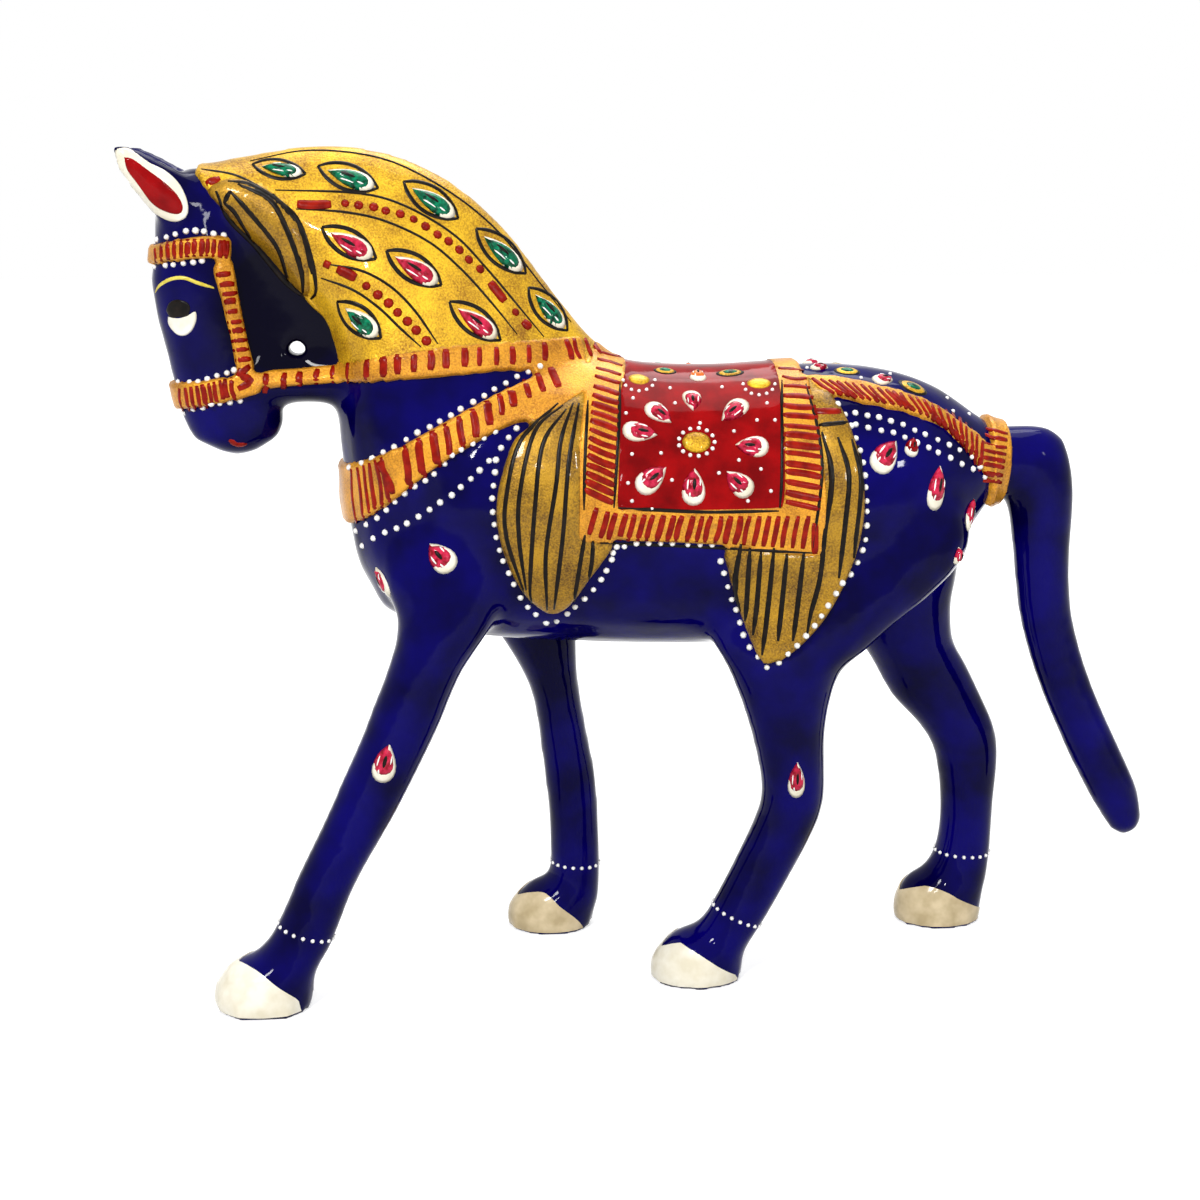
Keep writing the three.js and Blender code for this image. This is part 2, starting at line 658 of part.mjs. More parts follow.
// Raised pieces that wrap over the back, the crest, the chest or the nose.
for (const [name, outline, height, neighbours, finish] of [
  ["mane", mane, maneHeight, [rein, pollTassel, borderFront], "gold"],
  ["browband", browband, strapHeight, [], "gold"],
  ["noseband", noseband, strapHeight, [], "gold"],
  ["breast_collar", collar, strapHeight, [rein, borderFront], "gold"],
  ["saddle_cloth", cloth, clothHeight, [borderFront, borderRear, hem], "red"],
  ["cloth_border_front", borderFront, strapHeight, [], "gold"],
  ["cloth_border_rear", borderRear, strapHeight, [], "gold"],
  ["dock_collar", dockCollar, strapHeight, [], "gold"],
]) {
  add(name, relief(outline, BOTH, height, neighbours), finish);
}

// Raised pieces that lie on each side.
const sideNames = new Map([
  ["near", NEAR],
  ["far", FAR],
]);
for (const [name, outline, height, neighbours, finish] of [
  ["cheek_strap", cheekStrap, strapHeight, [browband, noseband, rein], "gold"],
  ["rein", rein, strapHeight, [noseband, borderFront], "gold"],
  ["poll_tassel", pollTassel, tasselHeight, [], "gold"],
  ["cloth_hem", hem, strapHeight, [borderFront, borderRear], "gold"],
  ["shoulder_tassel", shoulderTassel, tasselHeight, [collar, rein, borderFront, hem], "gold"],
  ["flank_tassel", flankTassel, tasselHeight, [borderRear, hem, crupper], "gold"],
  ["crupper", crupper, strapHeight, [borderRear, dockCollar], "gold"],
  ["eye", eye, eyeHeight, [], "white"],
]) {
  for (const [sideName, side] of sideNames) {
    add(`${name}_${sideName}`, relief(outline, side, height, neighbours), finish);
  }
}

// A drop-shaped stone, its round end down and leaning by a tilt, bedded on the skin or on the cloth.
function stone(x, z, side, width, length, tilt, on = 0) {
  const hit = surfaceHit(x, z, side);
  const normal = hit.normal;
  const lean = new THREE.Vector3(Math.sin(tilt), 0, Math.cos(tilt));
  const upright = lean.addScaledVector(normal, -lean.dot(normal)).normalize();
  const across = new THREE.Vector3().crossVectors(upright, normal);
  const geometry = new THREE.SphereGeometry(1, 10, 6);
  const vertex = new THREE.Vector3();
  const { position } = geometry.attributes;
  for (let i = 0; i < position.count; i++) {
    vertex.fromBufferAttribute(position, i);
    vertex.x *= (width / 2) * (1 - 0.35 * vertex.y);
    vertex.y *= length / 2;
    vertex.z *= stoneHeight;
    position.setXYZ(i, vertex.x, vertex.y, vertex.z);
  }
  const centre = hit.point.addScaledVector(normal, on);
  geometry.applyMatrix4(new THREE.Matrix4().makeBasis(across, upright, normal).setPosition(centre));
  return solidOf(geometry).subtract(skin(on + seat));
}

for (const [name, finish, near, far, width, length, tilt, on] of [
  ["shoulder_stone", "pink", [-34, 95.1], [-34, 95.1], 6.6, 7.4, -0.35],
  ["forearm_stone", "pink", [-45.9, 52.9], [-7.6, 52.9], 5, 9.4, 0.4],
  ["gaskin_stone", "pink", [39.5, 45.9], [85.5, 45.9], 4.2, 8.6, 0.1],
  ["rump_stone_front", "pink", [56.7, 114], [56.7, 114], 6.2, 8.2, 0.5],
  ["rump_stone_rear", "pink", [67.7, 107.1], [67.7, 107.1], 4.8, 9, 0.25],
  ["cloth_flower", "gold", [17.8, 117.2], [17.8, 117.2], 4.4, 4.4, 0, clothHeight],
]) {
  add(`${name}_near`, stone(...near, NEAR, width, length, tilt, on), finish);
  add(`${name}_far`, stone(...far, FAR, width, length, tilt, on), finish);
}

// The whole stands on the floor with the middle of its outline over the origin.
const extent = new THREE.Box3().setFromObject(group);
const middle = extent.getCenter(new THREE.Vector3());
group.position.set(-middle.x, -middle.y, -extent.min.z);

export default group;
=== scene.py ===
"""Looks of a walking enamelled horse: cobalt skin, raised gold harness, pearls, strokes and stones."""

import math

import bpy
import numpy as np
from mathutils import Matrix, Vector
from mathutils.bvhtree import BVHTree
from mathutils.kdtree import KDTree


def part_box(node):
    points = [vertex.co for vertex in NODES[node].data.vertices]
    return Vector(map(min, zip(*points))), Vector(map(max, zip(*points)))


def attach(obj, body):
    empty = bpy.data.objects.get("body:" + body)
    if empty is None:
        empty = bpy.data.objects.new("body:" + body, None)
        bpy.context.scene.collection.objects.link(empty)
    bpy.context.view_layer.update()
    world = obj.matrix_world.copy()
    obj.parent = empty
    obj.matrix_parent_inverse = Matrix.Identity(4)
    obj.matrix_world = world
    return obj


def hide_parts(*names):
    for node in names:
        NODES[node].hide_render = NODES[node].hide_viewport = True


# All lengths below are millimetres, and pixels are those of the 1200 x 1200 photograph.
MM = 0.001
BODY = "root"

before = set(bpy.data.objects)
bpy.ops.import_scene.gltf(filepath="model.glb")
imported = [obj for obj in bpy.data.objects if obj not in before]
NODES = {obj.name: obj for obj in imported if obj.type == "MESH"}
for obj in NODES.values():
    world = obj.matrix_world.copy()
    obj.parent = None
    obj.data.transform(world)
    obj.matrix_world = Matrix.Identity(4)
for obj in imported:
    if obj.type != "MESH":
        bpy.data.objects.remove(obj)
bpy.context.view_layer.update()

# The photograph's camera, found from the four hooves, which stand on one floor.
PHOTO_SIZE = 1200
FOCAL_PX = 2000
SENSOR = 36
VIEW_DISTANCE = 420
VIEW_HEIGHT = 170
VIEW_YAW = math.radians(5)
VIEW_PITCH = math.radians(12)
AIM_X = -12.48

# The castings of the frame. Shells, tail and legs meet in flat joints, which the enamel covers.
SHELLS = ["body_shell_near", "body_shell_far"]
SIDES = ["near", "far"]
LEGS = ["foreleg_near", "foreleg_far", "hindleg_near", "hindleg_far"]
HOOVES = ["forehoof_near", "forehoof_far", "hindhoof_near", "hindhoof_far"]
EARS = ["ear_near", "ear_far"]
JOINTED = SHELLS + ["tail"] + LEGS

SEAM_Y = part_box("body_shell_near")[1].y / MM
DOCK_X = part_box("body_shell_near")[1].x / MM

# The enamel skin's grid and how far it is smoothed.
SKIN_VOXEL = 1.05
FILL_ROUNDS = 24
FILL_SHARE = 0.8
SMOOTH_ROUNDS = 18
SMOOTH_SHARE = 0.5
# Faces of two castings make a joint where they lie this close and face each other this squarely.
JOINT_REACH = 0.03
JOINT_FACING = -0.9
# Points in one cell of this size are one point.
WELD_STEP = 0.01
# Smoothing hardly moves the skin at the soles and round the hole at the throat, and less at the ears.
LEAST_FREEDOM = 0.1
SOLE_ZONE = (0.5, 6)
THROAT_HOLE = np.array([-75.1, 135.1])
HOLE_ZONE = (2.8, 4.0)
EAR_HOLD = 0.12
EAR_ZONE = 4
EAR_MARGIN = 3
# Ears and hooves are set into the head and the legs by these shifts.
EAR_ROOT = (1.2, 0, -1.6)
HOOF_ROOT = (0, 0, 1.2)

# How proud of the skin each raised piece stands, and the radius of its rounded rim.
STRAP_RISE = 1.3
CLOTH_RISE = 1.05
MANE_RISE = 0.95
DOCK_RISE = 1.5
TASSEL_RISE = 1.15
TASSEL_DOME = 1.15
TASSEL_ROUND = 7.0
RIM_RADIUS = 0.85
# Rows of points along the rim, as shares of its radius.
RIM_ROWS = (0.3, 1.0)
# A hoof's coat is this thick and ends this high over the floor. Every coat is bedded this deep.
HOOF_COAT = 0.22
SOLE_EDGE = 0.7
BED_DEPTH = 0.3
# How far a painted mark may hang over the surface that it is laid on.
DRAPE_REACH = 2.5
# Neighbours are widened by the slack so that they meet, and the outer edge is then trimmed back.
JOIN_SLACK = 0.95
TRIM = 0.95
FIELD_ROUNDS = 3
EDGE_STEP = 0.3
# A point's columns are its place, its normal and, from here on, one field for each raised node.
FIRST_FIELD = 6
# Only this far outside any outline is the skin's surface used for the relief.
NEAR_RELIEF = 1.8
FAR_FIELD = -1.5
# The collar's lower edge in the photograph, in pixels, and the height at which it is seen.
EDGE_HEIGHT = 0.75
COLLAR_EDGE = [
    (340, 540), (370, 522), (385, 513), (400, 497), (415, 485), (430, 473), (445, 463), (460, 453),
    (475, 444), (490, 435), (505, 427), (520, 420),
]

SPECIAL_RISES = {"mane": MANE_RISE, "saddle_cloth": CLOTH_RISE, "dock_collar": DOCK_RISE}


def unit(vectors):
    lengths = np.linalg.norm(vectors, axis=-1, keepdims=True)
    return vectors / np.maximum(lengths, 1e-12)


class Camera:
    """The photograph's camera, which turns a pixel into a ray."""

    def __init__(self):
        cos_yaw, sin_yaw = math.cos(VIEW_YAW), math.sin(VIEW_YAW)
        aim = np.array([AIM_X, SEAM_Y, VIEW_HEIGHT - VIEW_DISTANCE * math.tan(VIEW_PITCH)])
        self.place = aim + np.array([-VIEW_DISTANCE * sin_yaw, -VIEW_DISTANCE * cos_yaw, 0])
        self.place[2] = VIEW_HEIGHT
        self.ahead = unit(aim - self.place)
        self.right = np.array([cos_yaw, -sin_yaw, 0])
        self.up = np.cross(self.right, self.ahead)

    def ray(self, pixel):
        middle = PHOTO_SIZE / 2
        across = self.right * (pixel[0] - middle)
        down = self.up * (pixel[1] - middle)
        return unit(self.ahead * FOCAL_PX + across - down)

    def pixels(self, points):
        """Where points show in the picture."""
        away = points - self.place
        scale = FOCAL_PX / (away @ self.ahead)
        middle = PHOTO_SIZE / 2
        return np.stack([middle + away @ self.right * scale, middle - away @ self.up * scale], 1)

    def build(self):
        data = bpy.data.cameras.new("photo_camera")
        data.sensor_width = SENSOR
        data.lens = FOCAL_PX * SENSOR / PHOTO_SIZE
        camera = bpy.data.objects.new("photo_camera", data)
        bpy.context.scene.collection.objects.link(camera)
        camera.location = Vector(self.place * MM)
        camera.rotation_euler = Vector(self.ahead).to_track_quat("-Z", "Y").to_euler()
        bpy.context.scene.camera = camera


def read(items, attribute, width, kind):
    """A mesh attribute as an array with one row for each item."""
    values = np.empty(len(items) * width, kind)
    items.foreach_get(attribute, values)
    return values.reshape(-1, width)


def triangles_of(name):
    """A CAD node's points in millimetres and its triangles."""
    mesh = NODES[name].data
    mesh.calc_loop_triangles()
    points = read(mesh.vertices, "co", 3, np.float32)
    return points.astype(float) / MM, read(mesh.loop_triangles, "vertices", 3, np.int32)


def box_of(name):
    """The low and the high corner of a CAD node, in millimetres."""
    return [np.array(corner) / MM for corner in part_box(name)]


def tree_of(points, faces):
    return BVHTree.FromPolygons(points.tolist(), faces.tolist())


def face_normals(points, triangles):
    a, b, c = (points[triangles[:, k]] for k in range(3))
    return unit(np.cross(b - a, c - a))


def weld(points, triangles):
    """Joins points that fall in one cell of a fine grid, and drops the triangles this empties."""
    cells = np.round(points / WELD_STEP).astype(np.int64)
    _, first, which = np.unique(cells, axis=0, return_index=True, return_inverse=True)
    triangles = which.reshape(-1)[triangles]
    whole = (triangles[:, 0] != triangles[:, 1]) & (triangles[:, 1] != triangles[:, 2])
    whole &= triangles[:, 2] != triangles[:, 0]
    return points[first], triangles[whole]


def edges_of(faces):
    sides = [faces[:, [k, (k + 1) % faces.shape[1]]] for k in range(faces.shape[1])]
    return np.concatenate(sides)


def largest_island(points, faces):
    """The connected part of a surface that has the most faces."""
    label = np.arange(len(points))
    edges = edges_of(faces)
    while True:
        low = np.minimum(label[edges[:, 0]], label[edges[:, 1]])
        before = label.copy()
        np.minimum.at(label, edges[:, 0], low)
        np.minimum.at(label, edges[:, 1], low)
        label = label[label]
        if (label == before).all():
            break
    values, counts = np.unique(label[faces[:, 0]], return_counts=True)
    return packed(points, faces[label[faces[:, 0]] == values[counts.argmax()]])


def packed(points, faces):
    used, which = np.unique(faces, return_inverse=True)
    return points[used], which.reshape(faces.shape)


def joined(surfaces):
    """Several surfaces as one: all points, and the faces counted on."""
    points, faces, count = [], [], 0
    for part_points, part_faces in surfaces:
        points.append(part_points)
        faces += [tuple(int(corner) + count for corner in face) for face in part_faces]
        count += len(part_points)
    return np.concatenate(points), faces


def outer_casting():
    """The castings' outside: joint faces go, and with them the cavity, sockets and spigots come away."""
    solids = {name: triangles_of(name) for name in JOINTED}
    trees = {name: tree_of(*solid) for name, solid in solids.items()}
    open_solids = []
    for name, (points, triangles) in solids.items():
        others = [tree for other, tree in trees.items() if other != name]
        centres = points[triangles].mean(1)
        normals = face_normals(points, triangles)
        free = [not meets(centre, normal, others) for centre, normal in zip(centres, normals)]
        open_solids.append((points, triangles[free]))
    points, triangles = joined(open_solids)
    return largest_island(*weld(points, np.array(triangles)))


def meets(centre, normal, trees):
    """Whether another casting's face lies against this one."""
    for tree in trees:
        _, other, _, distance = tree.find_nearest(centre, JOINT_REACH)
        if distance is not None and normal @ np.array(other) < JOINT_FACING:
            return True
    return False


def remeshed(parts, voxel):
    """Closed surfaces joined into one by a voxel grid. Returns points and quads."""
    points, faces = joined(parts)
    mesh = bpy.data.meshes.new("grid")
    mesh.from_pydata(points.tolist(), [], faces)
    source = bpy.data.objects.new("grid", mesh)
    bpy.context.scene.collection.objects.link(source)
    grid = source.modifiers.new("grid", "REMESH")
    grid.mode = "VOXEL"
    grid.voxel_size = voxel
    result = source.evaluated_get(bpy.context.evaluated_depsgraph_get()).to_mesh()
    points = read(result.vertices, "co", 3, np.float32)
    quads = read(result.polygons, "vertices", 4, np.int32)
    source.to_mesh_clear()
    bpy.data.objects.remove(source)
    bpy.data.meshes.remove(mesh)
    return largest_island(points.astype(float), quads)


def sums_at(index, values, count):
    return np.stack([np.bincount(index, values[:, k], count) for k in range(values.shape[1])], 1)


def neighbour_mean(points, edges):
    """Each point's mean of its neighbours. Edges come in both directions."""
    total = sums_at(edges[:, 0], points[edges[:, 1]], len(points))
    degree = np.bincount(edges[:, 0], minlength=len(points))
    return total / np.maximum(degree, 1)[:, None]


def point_normals(points, faces):
    a, b, c = (points[faces[:, k]] for k in range(3))
    crosses = np.cross(b - a, c - a)
    if faces.shape[1] == 4:
        crosses = np.cross(c - a, points[faces[:, 3]] - b)
    total = np.zeros_like(points)
    for k in range(faces.shape[1]):
        total += sums_at(faces[:, k], crosses, len(points))
    return unit(total)


def both_ways(faces):
    edges = np.unique(np.sort(edges_of(faces), 1), axis=0)
    return np.concatenate([edges, edges[:, ::-1]])


def fill_creases(points, faces, edges, freedom):
    """Lets the surface rise where it is hollow, as enamel does in a corner."""
    for _ in range(FILL_ROUNDS):
        normals = point_normals(points, faces)
        rise = ((neighbour_mean(points, edges) - points) * normals).sum(1)
        points = points + normals * (np.maximum(rise, 0) * FILL_SHARE * freedom)[:, None]
    return points


def smoothed(points, edges, freedom, rounds):
    for _ in range(rounds):
        points = points + (neighbour_mean(points, edges) - points) * (SMOOTH_SHARE * freedom)[:, None]
    return points


def ramp(values, low, high):
    t = np.clip((values - low) / (high - low), 0, 1)
    return t * t * (3 - 2 * t)


def freed(values, low, high):
    """The least freedom below the low value, rising to full freedom at the high one."""
    return LEAST_FREEDOM + (1 - LEAST_FREEDOM) * ramp(values, low, high)


def smoothing_freedom(points):
    """How freely each point may move: little at the soles and round the throat hole, less at the ears."""
    freedom = freed(points[:, 2], *SOLE_ZONE)
    low, high = box_of("ear_near")
    at_ears = ramp(points[:, 2], low[2], low[2] + EAR_ZONE) * (points[:, 0] < high[0] + EAR_MARGIN)
    freedom *= 1 - EAR_HOLD * at_ears
    hole = np.hypot(points[:, 0] - THROAT_HOLE[0], points[:, 2] - THROAT_HOLE[1])
    return freedom * freed(hole, *HOLE_ZONE)


def enamel_skin():
    """One smooth closed skin over all castings, as points and quads."""
    parts = [outer_casting()]
    for names, root in ((EARS, EAR_ROOT), (HOOVES, HOOF_ROOT)):
        for name in names:
            points, triangles = weld(*triangles_of(name))
            parts += [(points, triangles), (points + np.array(root), triangles)]
    points, quads = remeshed(parts, SKIN_VOXEL)
    edges = both_ways(quads)
    freedom = smoothing_freedom(points)
    points = fill_creases(points, quads, edges, freedom)
    once = smoothed(points, edges, freedom, SMOOTH_ROUNDS)
    lost = smoothed(points - once, edges, np.ones(len(points)), SMOOTH_ROUNDS)
    points = once + lost
    points[:, 2] = np.maximum(points[:, 2], 0)
    return points, quads


def split_quads(quads):
    return np.concatenate([quads[:, [0, 1, 2]], quads[:, [0, 2, 3]]])


class Field:
    """Signed distance, along the skin, to the side walls of one raised CAD node."""

    # How far it reaches, the height over the skin at which it is measured, and where a wall counts as near.
    REACH = 3.0
    ABOVE = 0.75
    NEAR_WALL = 1.5
    WALL_SLOPE = 0.62
    # A ray from below the skin up through a node, and one from the side that ends near the spot.
    BELOW_SKIN = 1.2
    THROUGH = 4.2
    AWAY = 60
    SLACK = 12

    def __init__(self, name, skin_tree):
        points, triangles = triangles_of(name)
        centres = points[triangles].mean(1)
        normals = face_normals(points, triangles)
        under = np.array([np.array(skin_tree.find_nearest(centre)[1]) for centre in centres])
        walls = np.abs((normals * under).sum(1)) < self.WALL_SLOPE
        self.whole = tree_of(points, triangles)
        self.walls = tree_of(points, triangles[walls])
        self.low = points.min(0)
        self.high = points.max(0)

    def at(self, points, normals):
        values = np.full(len(points), -self.REACH)
        near = ((points > self.low - self.REACH) & (points < self.high + self.REACH)).all(1)
        for index in np.nonzero(near)[0]:
            point, normal = points[index], normals[index]
            spot = point + normal * self.ABOVE
            distance = self.walls.find_nearest(Vector(spot))[3]
            if distance < self.NEAR_WALL:
                inside = self.covers(spot)
            else:
                start = Vector(point - normal * self.BELOW_SKIN)
                inside = self.whole.ray_cast(start, Vector(normal), self.THROUGH)[0] is not None
            values[index] = distance if inside else -min(distance, self.REACH)
        return values

    def covers(self, spot):
        """Whether the node, seen from the spot's own side, covers it. The outlines are cut in that view."""
        side = -1 if spot[1] < SEAM_Y else 1
        start = Vector((spot[0], SEAM_Y + side * self.AWAY, spot[2]))
        place = self.whole.ray_cast(start, Vector((0, -side, 0)), self.AWAY)[0]
        return place is not None and abs(place[1] - spot[1]) < self.SLACK


def cut(data, triangles, level):
    """Splits the triangles along level = 0. Every column of data is carried to the new points."""
    level = np.where(np.abs(level) < 1e-4, 1e-4, level)
    side = level[triangles] > 0
    mixed = side.any(1) & ~side.all(1)
    if not mixed.any():
        return data, triangles
    crossed, side = triangles[mixed], side[mixed]
    lone = np.where(side[:, 0] == side[:, 1], 2, np.where(side[:, 0] == side[:, 2], 1, 0))
    row = np.arange(len(crossed))
    a, b, c = (crossed[row, (lone + k) % 3] for k in range(3))
    count = len(data)
    pairs = np.concatenate([np.sort(np.stack([a, b], 1), 1), np.sort(np.stack([a, c], 1), 1)])
    keys, which = np.unique(pairs[:, 0].astype(np.int64) * count + pairs[:, 1], return_inverse=True)
    low, high = keys // count, keys % count
    share = (level[low] / (level[low] - level[high]))[:, None]
    data = np.concatenate([data, data[low] * (1 - share) + data[high] * share])
    p = count + which.reshape(-1)[:len(crossed)]
    q = count + which.reshape(-1)[len(crossed):]
    new = [np.stack(corners, 1) for corners in ((a, p, q), (p, b, c), (p, c, q))]
    return data, np.concatenate([triangles[~mixed]] + new)


def kept_where(data, triangles, level):
    """The part of a surface where level > 0, cut along level = 0."""
    data, triangles = cut(np.column_stack([data, level]), triangles, level)
    keep = data[triangles][:, :, -1].mean(1) > 0
    return data[:, :-1], triangles[keep]


def open_edges(triangles):
    """The edges that only one of these triangles has, in that triangle's direction."""
    edges = edges_of(triangles)
    keys = np.sort(edges, 1)
    _, which, counts = np.unique(keys, axis=0, return_inverse=True, return_counts=True)
    return edges[counts[which.reshape(-1)] == 1]


def distance_to_edges(points, wanted, edges):
    """Distance from the wanted points to a set of edges."""
    spots = []
    for start, end in zip(points[edges[:, 0]], points[edges[:, 1]]):
        parts = max(1, int(np.linalg.norm(end - start) / EDGE_STEP))
        spots += [start + (end - start) * k / parts for k in range(parts)]
    tree = KDTree(len(spots))
    for index, spot in enumerate(spots):
        tree.insert(spot, index)
    tree.balance()
    return np.array([tree.find(points[index])[2] for index in wanted])


def rounded(depth, radius):
    """Height, from 0 to 1, of a quarter circle at this depth behind its rim."""
    t = 1 - np.clip(depth / radius, 0, 1)
    return np.sqrt(np.maximum(1 - t * t, 0))


def build_mesh(name, points, faces, material, sharp=None):
    """A shown piece from points in millimetres, riding on the one body."""
    mesh = bpy.data.meshes.new(name)
    mesh.from_pydata((points * MM).tolist(), [], [list(face) for face in faces])
    mesh.validate()
    mesh.polygons.foreach_set("use_smooth", [True] * len(mesh.polygons))
    if sharp is not None:
        marked = {tuple(sorted(edge)) for edge in sharp.tolist()}
        flags = [tuple(sorted(edge.vertices)) in marked for edge in mesh.edges]
        mesh.edges.foreach_set("use_edge_sharp", flags)
    mesh.materials.append(material)
    piece = bpy.data.objects.new(name, mesh)
    bpy.context.scene.collection.objects.link(piece)
    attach(piece, BODY)
    return piece


def coat(name, data, height, triangles, material):
    """A closed coat over skin points and normals: its top stands at height, its underside is bedded."""
    used, which = np.unique(triangles, return_inverse=True)
    triangles = which.reshape(-1, 3)
    base, normals = data[used, :3], unit(data[used, 3:6])
    top = base + normals * height[used][:, None]
    under = base - normals * BED_DEPTH
    rim = open_edges(triangles)
    count = len(used)
    skirt = np.stack([rim[:, 1], rim[:, 0], rim[:, 0] + count, rim[:, 1] + count], 1)
    faces = triangles.tolist() + (triangles[:, ::-1] + count).tolist() + skirt.tolist()
    piece = build_mesh(name, np.concatenate([top, under]), faces, material, sharp=rim)
    return piece, (top, triangles)


def above_edge(camera, spots, edge, middle=SEAM_Y):
    """How far spots on either side of a middle plane show above a line of pixels on its near side."""
    mirrored = spots.copy()
    mirrored[:, 1] = middle - np.abs(spots[:, 1] - middle)
    shown = camera.pixels(mirrored)
    line = np.array(edge, float)
    return (np.interp(shown[:, 0], line[:, 0], line[:, 1]) - shown[:, 1]) * VIEW_DISTANCE / FOCAL_PX


class Raised:
    """All raised pieces as one continuous relief on the skin, cut apart along their outlines."""

    def __init__(self, points, normals, triangles, names, tree, camera):
        self.names = names
        fields = np.stack([Field(name, tree).at(points, normals) + JOIN_SLACK for name in names], 1)
        collar = names.index("breast_collar")
        above = above_edge(camera, points + normals * EDGE_HEIGHT, COLLAR_EDGE) + JOIN_SLACK
        fields[:, collar] = np.minimum(fields[:, collar], above)
        edges = both_ways(triangles)
        fields = smoothed(fields, edges, np.ones(len(points)), FIELD_ROUNDS)
        self.fields = slice(FIRST_FIELD, FIRST_FIELD + len(names))
        data = np.concatenate([points, normals, fields], 1)
        near = (data[:, self.fields].max(1) > -NEAR_RELIEF)[triangles].any(1)
        triangles = triangles[near]
        data, triangles = cut(data, triangles, data[:, self.fields].max(1))
        for index in range(len(names)):
            own = data[:, FIRST_FIELD + index]
            rest = np.delete(data[:, self.fields], index, 1).max(1)
            data, triangles = cut(data, triangles, np.where(own > FAR_FIELD, own - rest, FAR_FIELD))
        inside = data[triangles][:, :, self.fields].mean(1)
        self.data = data
        self.triangles = triangles[inside.max(1) > 0]
        self.data, self.triangles = kept_where(data, self.triangles, self.depth() - TRIM)
        self.round_rims()
        self.set_heights()

    def depth(self):
        """How far every used point lies behind the relief's outer rim."""
        rim = open_edges(self.triangles)
        used = np.unique(self.triangles)
        depth = np.zeros(len(self.data))
        depth[used] = distance_to_edges(self.data[:, :3], used, rim)
        return depth

    def round_rims(self):
        """Adds rows of points along the rim, where the relief rises."""
        for share in RIM_ROWS:
            level = self.depth() - RIM_RADIUS * share
            self.data, self.triangles = cut(self.data, self.triangles, level)

    def set_heights(self):
        data = self.data
        fields = data[:, self.fields]
        self.label = fields[self.triangles].mean(1).argmax(1)
        rise = np.array([rise_of(name) for name in self.names])
        total = np.zeros(len(data))
        share = np.zeros(len(data))
        for k in range(3):
            np.add.at(total, self.triangles[:, k], rise[self.label])
            np.add.at(share, self.triangles[:, k], 1)
        height = total / np.maximum(share, 1)
        height *= rounded(self.depth(), RIM_RADIUS)
        for index, name in enumerate(self.names):
            if "tassel" in name:
                height += TASSEL_DOME * rounded(np.maximum(fields[:, index] - JOIN_SLACK, 0), TASSEL_ROUND)
        self.height = height

    def build(self, name, material):
        triangles = self.triangles[self.label == self.names.index(name)]
        return coat("raised_" + name, self.data, self.height, triangles, material)


def rise_of(name):
    return TASSEL_RISE if "tassel" in name else SPECIAL_RISES.get(name, STRAP_RISE)


def base_name(name):
    for side in SIDES:
        name = name.removesuffix("_" + side)
    return name


def catmull(points, step):
    """A smooth curve through the points, sampled about every step."""
    points = np.asarray(points, float)
    if len(points) == 2:
        count = max(2, int(np.linalg.norm(points[1] - points[0]) / step) + 1)
        return np.linspace(points[0], points[1], count)
    ends = np.concatenate([[2 * points[0] - points[1]], points, [2 * points[-1] - points[-2]]])
    curve = []
    for a, b, c, d in zip(ends, ends[1:], ends[2:], ends[3:]):
        count = max(1, int(round(np.linalg.norm(c - b) / step)))
        for t in np.arange(count) / count:
            curve.append(0.5 * (2 * b + (c - a) * t + (2 * a - 5 * b + 4 * c - d) * t * t
                                + (3 * b - a - 3 * c + d) * t ** 3))
    return np.array(curve + [points[-1]])


def spaced(curve, distances):
    """Points of a curve at these lengths along it."""
    lengths = np.concatenate([[0], np.cumsum(np.linalg.norm(np.diff(curve, axis=0), axis=1))])
    return np.stack([np.interp(distances, lengths, curve[:, k]) for k in range(curve.shape[1])], 1)


def curve_length(curve):
    return np.linalg.norm(np.diff(curve, axis=0), axis=1).sum()


class Ground:
    """The surface that painted pieces are laid on. It grows as they are added."""

    def __init__(self, camera):
        self.camera = camera
        self.surfaces = []

    def add(self, points, faces):
        self.surfaces.append((points, faces))

    def settle(self):
        self.surfaces = [joined(self.surfaces)]
        points, faces = self.surfaces[0]
        self.tree = BVHTree.FromPolygons(points.tolist(), faces)

    def seen(self, pixel):
        """What the camera sees at a pixel: place and normal, or None."""
        start = Vector(self.camera.place)
        ray = self.camera.ray(pixel)
        place, normal, _, _ = self.tree.ray_cast(start, Vector(ray))
        if place is None:
            return None
        normal = np.array(normal)
        return np.array(place), -normal if normal @ ray > 0 else normal

    def under(self, spot, normal):
        """The surface straight below a spot that hangs over it, or else the nearest."""
        start = Vector(spot + normal * DRAPE_REACH)
        place, face, _, _ = self.tree.ray_cast(start, Vector(-normal), 2 * DRAPE_REACH)
        if place is None:
            return self.nearest(spot)
        return np.array(place), np.array(face)

    def nearest(self, spot):
        place, normal, _, _ = self.tree.find_nearest(Vector(spot))
        return np.array(place), np.array(normal)

    def across(self, spot):
        """The twin of a spot on the other side of the seam."""
        return self.nearest([spot[0], 2 * SEAM_Y - spot[1], spot[2]])


# The section of a painted line, its depth in the ground and its height, and how its ends narrow.
LINE_PROFILE = [(-1, 0), (-0.66, 0.74), (0, 1), (0.66, 0.74), (1, 0)]
LINE_SINK = 0.12
LINE_RISE = 0.16
LINE_STEP = 4
LINE_TAPER = 0.45
STROKE_TAPER = 0.72
# Pearls: how deep they sit, their corners, and the direction in which the first corner lies.
BEAD_SINK = 0.15
BEAD_SIDES = 8
BEAD_TURN = np.array([1.0, 0.2, 0.1])
MIRROR = np.array([1, -1, 1])
